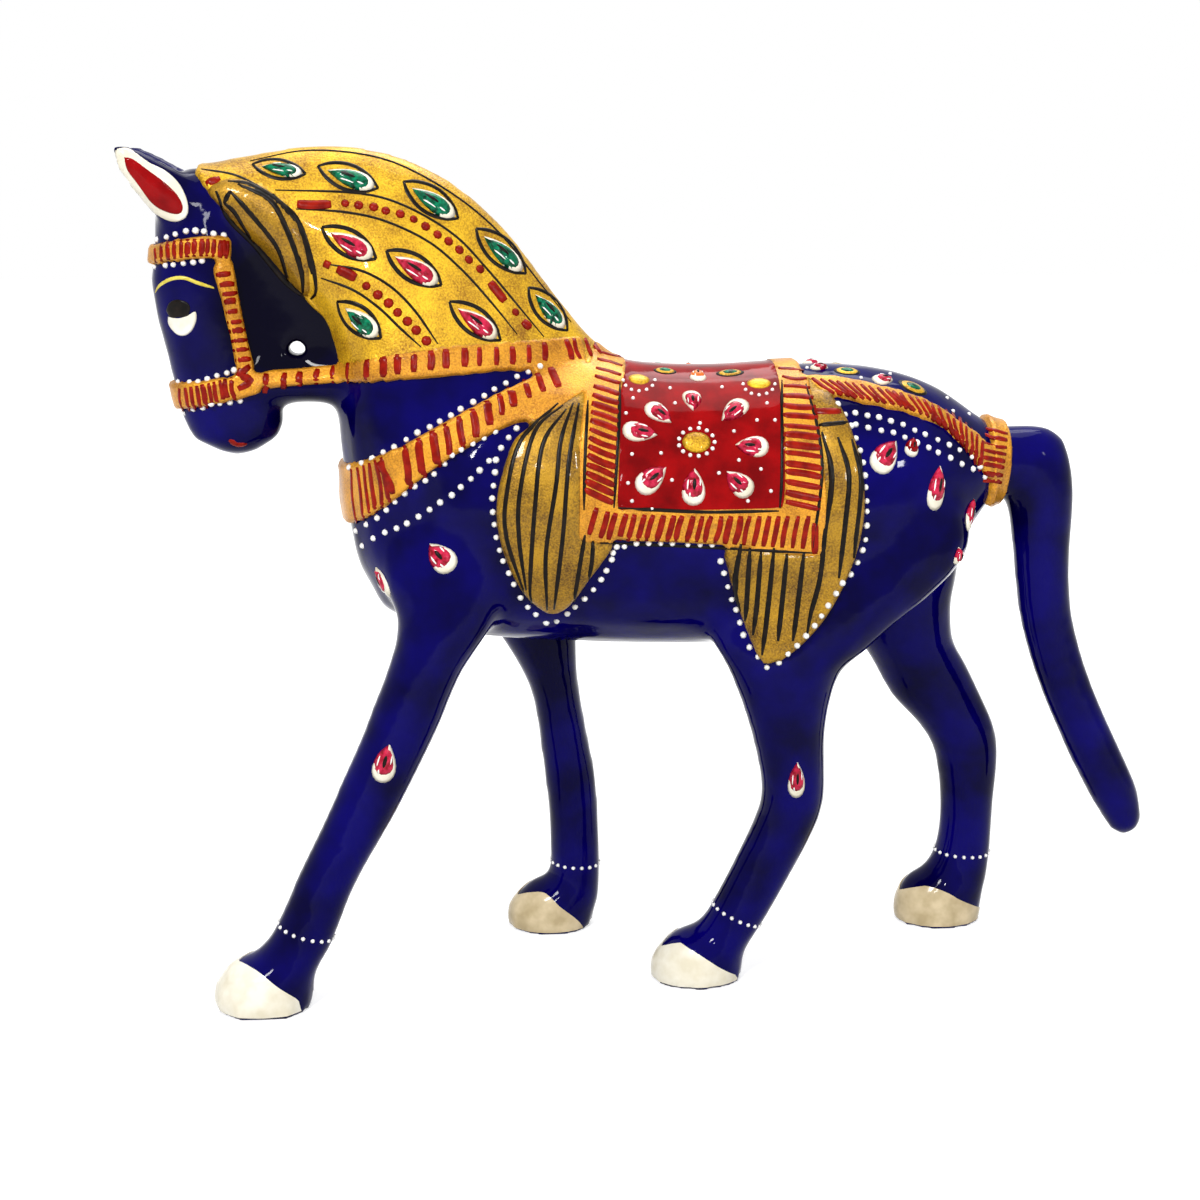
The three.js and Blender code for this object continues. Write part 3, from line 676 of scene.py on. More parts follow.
# Radius and height of a pearl and of smaller marks.
PEARL = (0.78, 0.52)
FLOWER_PEARL = (0.55, 0.38)
RUMP_PEARL = (0.55, 0.4)
LEG_PEARL = (0.55, 0.42)
CLOTH_DOT = (0.5, 0.35)
MANE_DOT = (1.15, 0.42)
# Pixels from one dot on the mane to the next.
MANE_GAP = 14.5
# Half widths of fine lines, and the height of flat patches.
MANE_LINE = 0.34
EYE_LINE = 0.56
CLOTH_LINE = 0.42
SMEAR_LINE = 0.95
BROW_LINE = 0.45
MOUTH_LINE = 0.75
PATCH_RISE = 0.2
EYE_RISE = 0.35
# The unsteady hand: spreads in shares of the gap and in pixels, and the range of sizes.
STROKE_SPREAD = 0.06
BEND_SPREAD = 0.8
STROKE_SIZES = (0.82, 1.2)
GAP_SPREAD = 0.05
PIXEL_SPREAD = 0.4
BEAD_SIZES = (0.88, 1.1)


def line_mesh(spots, half_width, rise, taper):
    """A painted line with a domed section, a little sunk into its ground, narrower at its ends."""
    places, normals = (np.array(part) for part in zip(*spots))
    for _ in range(2):
        normals[1:-1] = (normals[:-2] + 2 * normals[1:-1] + normals[2:]) / 4
    normals = unit(normals)
    side = unit(np.cross(normals, unit(np.gradient(places, axis=0))))
    count = len(places)
    t = np.linspace(0, 1, count)
    width = half_width * (taper + (1 - taper) * np.minimum(1, 6 * np.minimum(t, 1 - t)))
    rows = []
    for across, up in LINE_PROFILE:
        lift = (rise + LINE_SINK) * up - LINE_SINK
        rows.append(places + side * (across * width)[:, None] + normals * lift)
    size = len(LINE_PROFILE)
    faces = []
    for k in range(count - 1):
        for j in range(size):
            a, b = k * size + j, k * size + (j + 1) % size
            faces.append((a, a + size, b + size, b))
    faces.append(tuple(range(size)))
    faces.append(tuple(reversed(range((count - 1) * size, count * size))))
    return np.stack(rows, 1).reshape(-1, 3), faces


def dome_faces(size, rings):
    """A flat underside, rings of quads and a fan to the last point."""
    faces = [tuple(reversed(range(size)))]
    for ring in range(rings - 1):
        for j in range(size):
            a, b = ring * size + j, ring * size + (j + 1) % size
            faces.append((a, b, b + size, a + size))
    last, top = (rings - 1) * size, rings * size
    return faces + [(last + j, last + (j + 1) % size, top) for j in range(size)]


def dome_mesh(ground, centre, normal, along, outline, rise, rings=2, draped=False):
    """A dome over an outline given as (along, across) pairs. A draped one follows the ground."""
    along = unit(along - normal * (along @ normal))
    across = np.cross(normal, along)
    points = []
    for ring in range(rings, 0, -1):
        share = ring / rings
        lift = rise * math.sqrt(1 - share ** 2) if ring < rings else -BEAD_SINK
        for u, v in outline:
            spot = centre + along * (u * share) + across * (v * share)
            up = normal
            if draped:
                spot, up = ground.under(spot, normal)
            points.append(spot + up * lift)
    top_place = ground.under(centre, normal)[0] if draped else centre
    points.append(top_place + normal * rise)
    return np.array(points), dome_faces(len(outline), rings)


def ellipse(half_length, half_width, count):
    angles = np.arange(count) * 2 * math.pi / count
    return np.stack([half_length * np.cos(angles), half_width * np.sin(angles)], 1)


def drop(half_length, half_width, count):
    """A drop whose tip is at +half_length."""
    angles = np.arange(count) * 2 * math.pi / count
    belly = 1.15 * np.abs(np.sin(angles / 2)) ** 0.9
    return np.stack([half_length * np.cos(angles), half_width * np.sin(angles) * belly], 1)


class Paint:
    """Painted marks, gathered by piece name and laid on both sides of the horse."""

    def __init__(self, ground, kinds):
        self.ground = ground
        self.kinds = kinds
        self.marks = {}

    def keep(self, name, points, faces):
        self.marks.setdefault(name, []).append((points, faces))

    def sides(self, name, spots):
        """Each side's piece name and spots: those seen, and their twins across the seam."""
        twins = [self.ground.across(place) for place, _ in spots]
        return [(name + "_near", spots), (name + "_far", twins)]

    def headed(self, name, pixel, heading=0):
        """Each side's piece name, spot and direction for a picture heading, and a pixel's size there."""
        spot = self.ground.seen(pixel)
        if spot is None:
            return []
        way = self.heading(spot, pixel, heading)
        scale = np.linalg.norm(spot[0] - self.ground.camera.place) / FOCAL_PX
        pairs = zip(self.sides(name, [spot]), [way, way * MIRROR])
        return [(piece, spots[0], side_way, scale) for (piece, spots), side_way in pairs]

    def heading(self, spot, pixel, heading):
        """The direction on the surface that a picture angle, anticlockwise from right, stands for."""
        angle = math.radians(heading)
        moved = self.ground.camera.ray([pixel[0] + 8 * math.cos(angle), pixel[1] - 8 * math.sin(angle)])
        away = self.ground.camera.place
        reach = ((spot[0] - away) @ spot[1]) / (moved @ spot[1])
        return away + moved * reach - spot[0]

    def runs(self, pixels):
        """What is seen along a curve of pixels, in runs that end where the surface jumps."""
        runs, run = [], []
        for pixel in catmull(pixels, LINE_STEP):
            spot = self.ground.seen(pixel)
            far_off = run and spot is not None and np.linalg.norm(spot[0] - run[-1][0]) > LINE_STEP
            if spot is None or far_off:
                runs.append(run)
                run = []
            if spot is not None:
                run.append(spot)
        return [part for part in runs + [run] if len(part) > 1]

    def line(self, name, pixels, half_width, rise=LINE_RISE, taper=LINE_TAPER):
        for run in self.runs(pixels):
            for piece, spots in self.sides(name, run):
                self.keep(piece, *line_mesh(spots, half_width, rise, taper))

    def strokes(self, name, upper, lower, count, half_width, skew):
        """Short strokes from one edge line of a strap to the other."""
        edges = [catmull(edge, 3) for edge in (upper, lower)]
        shares = (np.arange(count) + 0.5) / count + RANDOM.normal(0, STROKE_SPREAD / count, count)
        starts = spaced(edges[0], (shares - skew / count) * curve_length(edges[0]))
        ends = spaced(edges[1], (shares + skew / count) * curve_length(edges[1]))
        for start, end in zip(starts, ends):
            width = half_width * RANDOM.uniform(*STROKE_SIZES)
            middle = (start + end) / 2 + RANDOM.normal(0, BEND_SPREAD, 2)
            self.line(name, [start, middle, end], width, taper=STROKE_TAPER)

    def bead(self, name, spot, radius, rise):
        outline = ellipse(radius, radius, BEAD_SIDES)
        self.keep(name, *dome_mesh(self.ground, *spot, BEAD_TURN, outline, rise))

    def dot(self, name, pixel, radius, rise):
        spot = self.ground.seen(pixel)
        if spot is not None:
            for piece, spots in self.sides(name, [spot]):
                self.bead(piece, spots[0], radius, rise)

    def beads(self, name, pixels, gap, radius=PEARL[0], rise=PEARL[1]):
        """Pearls along a curve of pixels, about every gap pixels."""
        curve = catmull(pixels, 3)
        count = max(1, int(round(curve_length(curve) / gap)))
        stops = np.linspace(0, curve_length(curve), count + 1)
        stops[1:-1] += RANDOM.normal(0, gap * GAP_SPREAD, count - 1)
        for pixel in spaced(curve, stops):
            place = pixel + RANDOM.normal(0, PIXEL_SPREAD, 2)
            self.dot(name, place, radius * RANDOM.uniform(*BEAD_SIZES), rise)

    def blob(self, name, pixel, outline, rise):
        """A larger draped dome, level in the picture."""
        for piece, spot, along, _ in self.headed(name, pixel):
            self.keep(piece, *dome_mesh(self.ground, *spot, along, outline, rise, 3, True))

    def kind_of(self, name):
        """The longest kind that the name starts with."""
        return self.kinds[max((kind for kind in self.kinds if name.startswith(kind)), key=len)]

    def lay(self):
        """Builds the gathered pieces, adds them to the ground and starts anew."""
        for name, shapes in self.marks.items():
            material, slot = self.kind_of(name)
            points, faces = joined(shapes)
            piece = build_mesh(name, points, faces, material)
            base = base_name(name)
            if base in REPLACED:
                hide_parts(REPLACED[base] + name.removeprefix(base))
            self.ground.add(points, faces)
        self.marks = {}
        self.ground.settle()


RANDOM = np.random.default_rng(7)

# The studio: how much the floor and the sky give. Strength 1 is white.
FLOOR_HALF = 3000
FLOOR_GLOW = 0.62
FLOOR_FADE = (110, 380)
AMBIENT = 0.16
# Painted shade: the cobalt turns almost black in the hollow behind the jaw. Its middle and its extent.
PAINTED_SHADE_MIDDLE = (-78, 143)
COBALT_LEVEL = 0.06
PAINTED_SHADE_INNER = 13
PAINTED_SHADE_OUTER = 25
PAINTED_SHADE_BLACK = (0.001, 0.0006, 0.008, 1)
COBALT_DARK = (0.0006, 0.0, 0.03)
COBALT_LIGHT = (0.0016, 0.0002, 0.105)
# The depth of the surfaces' waves and grain, in metres.
ENAMEL_WAVE = 0.00004
COBALT_WAVE = 0.00016
GOLD_GRAIN = 0.00012


class Nodes:
    """Short calls for a material's nodes. An input is given as its name, with _ for a space."""

    def __init__(self, tree):
        self.tree = tree
        self.where = self.add("ShaderNodeTexCoord").outputs["Object"]

    def feed(self, socket, value):
        """Links a socket to another one, or sets it to a constant."""
        if isinstance(value, bpy.types.NodeSocket):
            self.tree.links.new(value, socket)
        else:
            socket.default_value = value

    def fill(self, node, **inputs):
        for key, value in inputs.items():
            self.feed(node.inputs[key.replace("_", " ")], value)

    def add(self, kind, **inputs):
        node = self.tree.nodes.new(kind)
        self.fill(node, **inputs)
        return node

    def math(self, operation, *values):
        node = self.add("ShaderNodeMath")
        node.operation = operation
        for socket, value in zip(node.inputs, values):
            self.feed(socket, value)
        return node.outputs[0]

    def distance(self, place):
        """How far the shaded point lies from a place."""
        node = self.add("ShaderNodeVectorMath", Vector=self.where)
        node.operation = "DISTANCE"
        self.feed(node.inputs[1], place)
        return node.outputs["Value"]

    def noise(self, scale, detail=3.0):
        return self.add("ShaderNodeTexNoise", Vector=self.where, Scale=scale, Detail=detail).outputs["Fac"]

    def blend(self, factor, low, high, start=0.35, end=0.65):
        """A colour that goes from low to high as the factor goes from start to end."""
        node = self.add("ShaderNodeValToRGB", Fac=factor)
        for stop, place, colour in zip(node.color_ramp.elements, (start, end), (low, high)):
            stop.position = place
            stop.color = (*colour, 1)
        return node.outputs["Color"]

    def bump(self, height, distance):
        return self.add("ShaderNodeBump", Height=height, Distance=distance, Strength=1.0).outputs["Normal"]


def new_material(name):
    material = bpy.data.materials.new(name)
    material.use_nodes = True
    return material, Nodes(material.node_tree), material.node_tree.nodes["Principled BSDF"]


def enamel(name, dark, light, patch=180.0, roughness=0.12, level=0.25):
    """Glossy hand-laid enamel: two close colours in cloudy patches and a faint waviness."""
    material, nodes, shader = new_material(name)
    nodes.fill(shader, Base_Color=nodes.blend(nodes.noise(patch), dark, light),
               Normal=nodes.bump(nodes.noise(patch * 1.6, 2.0), ENAMEL_WAVE),
               Roughness=roughness, Specular_IOR_Level=level)
    return material


def cobalt_enamel():
    """The deep blue enamel, with painted shade that turns it almost black in the hollow behind the jaw."""
    material, nodes, shader = new_material("cobalt_enamel")
    cobalt_colour = nodes.blend(nodes.noise(70.0), COBALT_DARK, COBALT_LIGHT)
    # Painted shade: towards the hollow behind the jaw the colour is blended to almost black.
    away = nodes.distance((PAINTED_SHADE_MIDDLE[0] * MM, SEAM_Y * MM, PAINTED_SHADE_MIDDLE[1] * MM))
    edge = nodes.add("ShaderNodeMapRange", Value=away, From_Min=PAINTED_SHADE_INNER * MM, From_Max=PAINTED_SHADE_OUTER * MM)
    mix = nodes.add("ShaderNodeMix")
    mix.data_type = "RGBA"
    for index, value in ((0, edge.outputs[0]), (6, PAINTED_SHADE_BLACK), (7, cobalt_colour)):
        nodes.feed(mix.inputs[index], value)
    nodes.fill(shader, Base_Color=mix.outputs[2], Normal=nodes.bump(nodes.noise(150.0, 2.0), COBALT_WAVE),
               Roughness=0.045, Specular_IOR_Level=COBALT_LEVEL)
    return material


def gold_leaf(name, dark, light):
    """Granular gold paint under varnish."""
    material, nodes, shader = new_material(name)
    grain = nodes.noise(2600.0, 4.0)
    cloud = nodes.math("MULTIPLY", nodes.noise(150.0, 3.0), 0.5)
    mixed = nodes.math("MULTIPLY_ADD", grain, 0.5, cloud)
    nodes.fill(shader, Base_Color=nodes.blend(mixed, dark, light, 0.34, 0.6),
               Normal=nodes.bump(grain, GOLD_GRAIN),
               Metallic=0.3, Roughness=0.36, Specular_IOR_Level=0.2, Coat_Weight=0.16, Coat_Roughness=0.06)
    return material


# Each enamel: its name, its dark and light colour, the size of its clouds, its roughness and specular level.
ENAMELS = {
    "red": ("red_enamel", (0.15, 0.0, 0.001), (0.30, 0.001, 0.002), 160.0, 0.08, 0.08),
    "stroke_red": ("stroke_red", (0.16, 0.003, 0.001), (0.30, 0.009, 0.002), 500.0, 0.25, 0.1),
    "cream": ("hoof_cream", (0.74, 0.68, 0.52), (0.88, 0.84, 0.72), 220.0, 0.16),
    # Painted shade: a darker copy of the hoof cream, used on the far hooves.
    "tan": ("hoof_cream_painted_shade", (0.46, 0.36, 0.20), (0.66, 0.54, 0.34), 220.0, 0.16),
    "pearl": ("pearl_white", (0.80, 0.79, 0.76), (0.93, 0.92, 0.90), 900.0, 0.2),
    "black": ("outline_black", (0.002, 0.0015, 0.001), (0.010, 0.006, 0.004), 700.0, 0.3, 0.1),
    "pink": ("stone_pink", (0.22, 0.001, 0.008), (0.60, 0.02, 0.07), 900.0, 0.08, 0.15),
    "green": ("stone_green", (0.0, 0.02, 0.01), (0.0, 0.20, 0.09), 900.0, 0.08, 0.15),
    "eye": ("eye_white", (0.78, 0.74, 0.60), (0.92, 0.89, 0.80), 300.0, 0.12),
    "brow": ("brow_yellow", (0.55, 0.42, 0.03), (0.75, 0.62, 0.10), 500.0, 0.2),
    "orange": ("drop_orange", (0.70, 0.10, 0.01), (0.85, 0.22, 0.03), 500.0, 0.15),
}
GOLDS = {
    "gold": ("gold_leaf", (0.22, 0.09, 0.002), (0.72, 0.42, 0.012)),
    "strap_gold": ("strap_gold", (0.28, 0.10, 0.004), (0.68, 0.30, 0.016)),
    "tassel_gold": ("tassel_gold", (0.07, 0.028, 0.001), (0.38, 0.20, 0.006)),
}


def make_materials():
    materials = {"cobalt": cobalt_enamel()}
    for key, recipe in GOLDS.items():
        materials[key] = gold_leaf(*recipe)
    for key, recipe in ENAMELS.items():
        materials[key] = enamel(*recipe)
    return materials


def build_floor():
    """A pale floor that the camera, and polished things, see as white, with the horse's shadow on it."""
    half = FLOOR_HALF * MM
    corners = [(-half, -half, 0), (half, -half, 0), (half, half, 0), (-half, half, 0)]
    mesh = bpy.data.meshes.new("floor")
    mesh.from_pydata(corners, [], [(0, 1, 2, 3)])
    floor = bpy.data.objects.new("floor", mesh)
    bpy.context.scene.collection.objects.link(floor)
    material, nodes, shader = new_material("floor_paper")
    tint = nodes.blend(nodes.noise(4.0), (0.60, 0.60, 0.60), (0.61, 0.61, 0.61))
    nodes.fill(shader, Base_Color=tint, Roughness=1.0, Specular_IOR_Level=0.0)
    fade = nodes.add("ShaderNodeMapRange", Value=nodes.distance((0, 0, 0)), From_Min=FLOOR_FADE[0] * MM,
                     From_Max=FLOOR_FADE[1] * MM, To_Min=FLOOR_GLOW, To_Max=1.0)
    glow = nodes.add("ShaderNodeEmission", Strength=fade.outputs[0])
    total = nodes.add("ShaderNodeAddShader")
    mix = nodes.add("ShaderNodeMixShader", Fac=white_for(nodes))
    end = nodes.tree.nodes["Material Output"].inputs["Surface"]
    plain, white, mixed = shader.outputs[0], total.outputs[0], mix.outputs[0]
    for socket, value in ((total.inputs[0], plain), (total.inputs[1], glow.outputs[0]),
                          (mix.inputs[1], plain), (mix.inputs[2], white), (end, mixed)):
        nodes.feed(socket, value)
    mesh.materials.append(material)


def white_for(nodes):
    """1 for camera, glossy and transmission rays, 0 for all others."""
    path = nodes.add("ShaderNodeLightPath").outputs
    seen = nodes.math("MAXIMUM", path["Is Camera Ray"], path["Is Glossy Ray"])
    return nodes.math("MAXIMUM", seen, path["Is Transmission Ray"])


def build_world():
    """White behind the horse and in its reflections, and a low even light on it."""
    world = bpy.data.worlds.new("studio")
    bpy.context.scene.world = world
    world.use_nodes = True
    nodes = Nodes(world.node_tree)
    strength = nodes.add("ShaderNodeMix", Factor=white_for(nodes))
    strength.inputs[2].default_value = AMBIENT
    strength.inputs[3].default_value = 1.0
    background = world.node_tree.nodes["Background"]
    nodes.fill(background, Color=(1, 1, 1, 1), Strength=strength.outputs[0])


def soft_lamp(name, place, size, power, aim=(0, 0, 90)):
    data = bpy.data.lights.new(name, "AREA")
    data.shape = "RECTANGLE"
    data.size, data.size_y = size[0] * MM, size[1] * MM
    data.energy = power
    lamp = bpy.data.objects.new(name, data)
    bpy.context.scene.collection.objects.link(lamp)
    lamp.location = Vector(place) * MM
    lamp.rotation_euler = (Vector(aim) - Vector(place)).to_track_quat("-Z", "Y").to_euler()


def build_lamps():
    soft_lamp("key", (-500, -900, 900), (180, 180), 11.5)
    soft_lamp("spark", (-150, -900, 520), (36, 50), 1.3)
    soft_lamp("side_spark", (650, -700, 500), (35, 100), 1.6)
    soft_lamp("window", (350, -1000, 420), (70, 160), 2.2)
    soft_lamp("top", (100, 200, 1200), (900, 900), 9)
    soft_lamp("back_fill", (300, 750, 1250), (700, 500), 6)


def split_at_dock(points, faces):
    """The skin before and behind the dock's joint, each closed there by a fan."""
    centres = points[faces].mean(1)
    behind = centres[:, 0] > DOCK_X
    behind &= tail_side(points, faces, behind)
    return closed(points, faces[~behind]), closed(points, faces[behind])


def tail_side(points, faces, behind):
    """The faces of the one island behind the dock that reaches the tail's end."""
    chosen = np.nonzero(behind)[0]
    tail_points, _ = largest_island(points, faces[chosen])
    known = {tuple(np.round(point, 5)) for point in tail_points}
    result = np.zeros(len(faces), bool)
    result[chosen] = [tuple(np.round(points[face[0]], 5)) in known for face in faces[chosen]]
    return result


def closed(points, faces):
    """Points and faces with a fan over the one hole."""
    rim = open_edges(faces)
    middle = points[rim[:, 0]].mean(0)
    centre = len(points)
    points = np.concatenate([points, [middle]])
    fan = [(int(b), int(a), centre) for a, b in rim]
    used = sorted(set(faces.reshape(-1).tolist()) | {centre})
    place = {old: new for new, old in enumerate(used)}
    all_faces = faces.tolist() + fan
    return points[used], [tuple(place[corner] for corner in face) for face in all_faces]


def build_skin(points, quads, materials):
    body, tail = split_at_dock(points, quads)
    skin = build_mesh("enamel_body", *body, materials["cobalt"])
    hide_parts(*SHELLS, *LEGS, *EARS)
    tail_piece = build_mesh("enamel_tail", *tail, materials["cobalt"])
    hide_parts("tail")


# The skin that a hoof's coat is cut from, below and over its node, and the level of all other skin.
HOOF_BELOW = 4
HOOF_OVER = 8
NOT_HOOF = -9
# Where each hoof's cream begins, in pixels from the toe to the heel.
CORONETS = {
    "forehoof_near": [
        (235, 960), (245, 964), (257, 971), (264, 976), (272, 983), (280, 989), (290, 995), (297, 999),
        (300, 1004), (302, 1020),
    ],
    "hindhoof_near": [
        (664, 946), (673, 944), (681, 943), (688, 948), (703, 957), (712, 963), (720, 968), (728, 972),
        (736, 975), (738, 986),
    ],
    "forehoof_far": [
        (518, 895), (528, 893), (540, 892), (547, 894), (553, 900), (560, 907), (575, 918), (581, 924),
        (584, 930), (586, 940),
    ],
    "hindhoof_far": [
        (900, 890), (911, 888), (925, 886), (935, 888), (943, 891), (950, 894), (958, 899), (967, 903),
        (975, 906), (985, 909),
    ],
}


def build_hooves(points, normals, triangles, ground, materials):
    """Each hoof's cream coat, from its coronet down over the sole. The far hooves carry painted shade: a
    darker copy of the cream.
    """
    for name, edge in CORONETS.items():
        low, high = box_of(name)
        near = ((points > low - HOOF_BELOW) & (points < high + HOOF_OVER)).all(1)
        above = above_edge(ground.camera, points, edge, (low[1] + high[1]) / 2)
        level = np.where(near, -above, NOT_HOOF)
        data, faces = kept_where(np.concatenate([points, normals], 1), triangles, level)
        data, faces = kept_where(data, faces, data[:, 2] - SOLE_EDGE)
        height = np.full(len(data), HOOF_COAT)
        # Painted shade: the far hooves take the darker copy of the cream.
        material = materials["cream" if name.endswith("near") else "tan"]
        piece, surface = coat("hoof_" + name, data, height, faces, material)
        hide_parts(name)
        ground.add(*surface)


GOLD_NODES = [
    "mane", "browband", "noseband", "breast_collar", "cloth_border_front", "cloth_border_rear", "dock_collar",
] + [part + "_" + side for side in SIDES for part in (
    "cheek_strap", "rein", "poll_tassel", "cloth_hem", "shoulder_tassel", "flank_tassel", "crupper")]


def finish_of(name):
    """The material of a raised piece."""
    if "tassel" in name:
        return "tassel_gold"
    return {"saddle_cloth": "red", "mane": "gold"}.get(name, "strap_gold")


def build_raised(points, normals, triangles, ground, materials):
    tree = tree_of(points, triangles)
    raised = Raised(points, normals, triangles, GOLD_NODES + ["saddle_cloth"], tree, ground.camera)
    for name in raised.names:
        piece, surface = raised.build(name, materials[finish_of(name)])
        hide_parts(name)
        ground.add(*surface)


# How much of a stone's length its coloured coat covers, and how far that lies towards the tip.
COVER = (0.8, 0.16)
MANE_COVER = (0.93, 0.05)
# The strokes on a stone: how far ahead and aside, length and width as shares of its own, corners, height.
STONE_STROKES = [
    ("stone_slit_", 0.14, 0.02, 0.44, 0.2, 10, 0.14), ("stone_glint_", 0.1, 0.5, 0.42, 0.09, 8, 0.12),
    ("stone_glint_", 0.26, -0.4, 0.3, 0.08, 8, 0.12), ("stone_glint_", -0.42, 0.3, 0.2, 0.1, 8, 0.12),
]
# A leaf is a black oval under a gold one under a green one: their shares of its size, and their heights.
LEAF_COATS = [("leaf_rim_", 1.0, 0.22), ("leaf_gold_", 0.88, 0.2), ("leaf_green_", 0.56, 0.2)]
LEAF_WIDTH = 1.7


class Stones:
    """Drop-shaped painted stones in three coats: a cream drop, a coloured drop and fine strokes."""

    def __init__(self, paint):
        self.paint = paint
        self.items = []

    def place(self, area, pixel, length, width, heading, colour="pink"):
        """A stone by its middle, its length and width in pixels, and the way its tip points."""
        for piece, spot, way, scale in self.paint.headed(area, pixel, heading):
            self.items.append((piece, spot, way, np.array([length, width]) / 2 * scale, colour))

    def place_on_node(self, area, side, lean=0.0):
        """A stone where the frame has it, as long and wide as the node."""
        low, high = box_of(area + "_stone_" + side)
        spot = self.paint.ground.nearest((low + high) / 2)
        size = np.array([high[2] - low[2], high[0] - low[0]]) / 2 * 1.04
        way = np.array([math.sin(lean), 0, math.cos(lean)])
        self.items.append((area + "_" + side, spot, way, size, "pink"))

    def shapes(self, number, area, long, wide, colour):
        """A coat's domes: piece name, places ahead and aside, outline and height."""
        if colour == "leaf":
            prefix, share, rise = LEAF_COATS[number]
            return [(prefix, 0, 0, ellipse(long * share, wide * share, 16), rise)]
        if number == 0:
            return [("stone_base_", 0, 0, drop(long, wide, 20), 0.75)]
        if number == 1:
            cover, ahead = MANE_COVER if area.startswith("mane") else COVER
            return [("stone_" + colour + "_", ahead, 0.06, drop(long * cover, wide * 0.92, 18), 0.34)]
        return [(prefix, ahead, aside, ellipse(long * length, wide * width, corners), rise)
                for prefix, ahead, aside, length, width, corners, rise in STONE_STROKES]

    def coat(self, number):
        ground = self.paint.ground
        for area, (centre, normal), way, (long, wide), colour in self.items:
            way = unit(way - normal * (way @ normal))
            side = np.cross(normal, way)
            for prefix, ahead, aside, outline, rise in self.shapes(number, area, long, wide, colour):
                spot = ground.under(centre + way * (ahead * long) + side * (aside * wide), normal)
                dome = dome_mesh(ground, *spot, way, outline, rise, 4 - number, True)
                self.paint.keep(prefix + area, *dome)


# Marks of each area, in pixels. A strap is its upper and its lower edge, a line the points along it, and
# a leaf, an eye of the mane and a stone are a middle, length, width and heading.
BROWBAND = (
    [(152, 245), (180, 240), (205, 239), (231, 241)], [(153, 263), (180, 258), (205, 256), (229, 259)],
)
CHEEK = ([(214, 268), (224, 300), (228, 325), (236, 362)], [(230, 272), (240, 302), (245, 330), (252, 366)])
NOSEBAND = ([(176, 389), (200, 385), (234, 377)], [(179, 411), (205, 408), (238, 399)])
REIN = (
    [(258, 374), (305, 371), (357, 361), (407, 353), (463, 348), (518, 346), (552, 341)],
    [(260, 394), (305, 385), (357, 381), (407, 373), (463, 367), (518, 364), (556, 359)],
)
REIN_END = ([(560, 340), (580, 338), (600, 340)], [(566, 360), (585, 358), (606, 352)])
COLLAR_LEFT = ([(348, 470), (364, 465), (384, 456)], [(352, 524), (370, 516), (392, 500)])
COLLAR = (
    [(398, 449), (430, 432), (465, 413), (500, 393), (535, 374), (560, 363)],
    [(404, 493), (437, 468), (470, 443), (505, 413), (538, 394), (570, 384)],
)
BORDER_FRONT = (
    [(602, 347), (597, 360), (592, 400), (588, 450), (584, 494)],
    [(627, 353), (622, 368), (619, 412), (616, 462), (613, 508)],
)
BORDER_REAR = (
    [(775, 364), (783, 378), (783, 410), (784, 460), (786, 506)],
    [(799, 365), (807, 379), (818, 416), (822, 466), (820, 514)],
)
HEM = (
    [(592, 506), (616, 513), (660, 515), (700, 516), (760, 516), (812, 516)],
    [(586, 534), (612, 540), (655, 541), (700, 542), (756, 546), (808, 549)],
)
CRUPPER = (
    [(812, 378), (860, 384), (913, 396), (945, 409), (962, 419), (988, 446)],
    [(828, 393), (880, 402), (913, 410), (943, 427), (963, 447), (980, 472)],
)
DOCK = ([(986, 424), (984, 450), (983, 484)], [(1008, 430), (1006, 455), (1001, 486)])
# Each strap's name, its edges, the number of strokes, their half width and their lean.
STRAP_STROKES = [
    ("browband", BROWBAND, 12, 0.66, 0), ("cheek", CHEEK, 10, 0.7, -0.3),
    ("noseband", NOSEBAND, 10, 0.64, 0), ("rein", REIN, 18, 0.85, -0.1), ("rein", REIN_END, 4, 0.8, 0),
    ("collar", COLLAR_LEFT, 6, 0.6, 0), ("collar", COLLAR, 12, 0.95, 0),
    ("border", BORDER_FRONT, 17, 0.8, 0), ("border", BORDER_REAR, 15, 0.82, 0),
    ("hem", HEM, 23, 0.74, -0.1), ("crupper", CRUPPER, 24, 0.6, 0.4), ("dock", DOCK, 8, 0.62, 0),
]
STRAP_SMEARS = [
    [(223, 240), (226, 256)], [(250, 366), (240, 374), (251, 381), (238, 389)],
    [(378, 462), (388, 480), (393, 494)], [(815, 523), (815, 554)], [(814, 411), (841, 411)],
    [(206, 184), (220, 178)],
]

# Pixels from one pearl to the next, and the rows of pearls by the piece that they make.
PEARL_GAP = 12.5
BRIDLE_GAP = 9.5
PEARLS = {
    "bridle": [
        [(157, 240), (189, 231), (224, 235)], [(155, 267), (177, 264), (202, 261)],
        [(179, 382), (202, 380), (235, 370)], [(184, 413), (206, 406), (240, 401)],
    ],
    "collar": [
        [(349, 468), (373, 457), (397, 445), (420, 432), (450, 416), (480, 398), (512, 380), (540, 366)],
        [(356, 531), (382, 514), (404, 494), (435, 474), (454, 454), (481, 440), (495, 432)],
        [(362, 545), (379, 535), (402, 526), (431, 509), (463, 485), (489, 461)],
    ],
    "cloth": [[(613, 553), (633, 544), (661, 543), (691, 545), (712, 545)]],
    "front_lobe": [
        [(517, 428), (499, 452), (493, 494), (496, 537), (512, 581), (527, 606), (547, 623)],
        [(557, 622), (581, 602), (598, 584), (610, 563), (617, 547)],
    ],
    "rear_lobe": [
        [(721, 561), (727, 584), (736, 611), (746, 641), (767, 667)],
        [(779, 663), (810, 632), (836, 594), (861, 555), (867, 511), (862, 456), (846, 415), (839, 404)],
    ],
    "rump": [
        [(855, 413), (886, 419), (922, 433), (957, 449), (975, 460), (985, 477)],
        [(856, 424), (895, 434), (933, 450), (973, 469)],
    ],
}

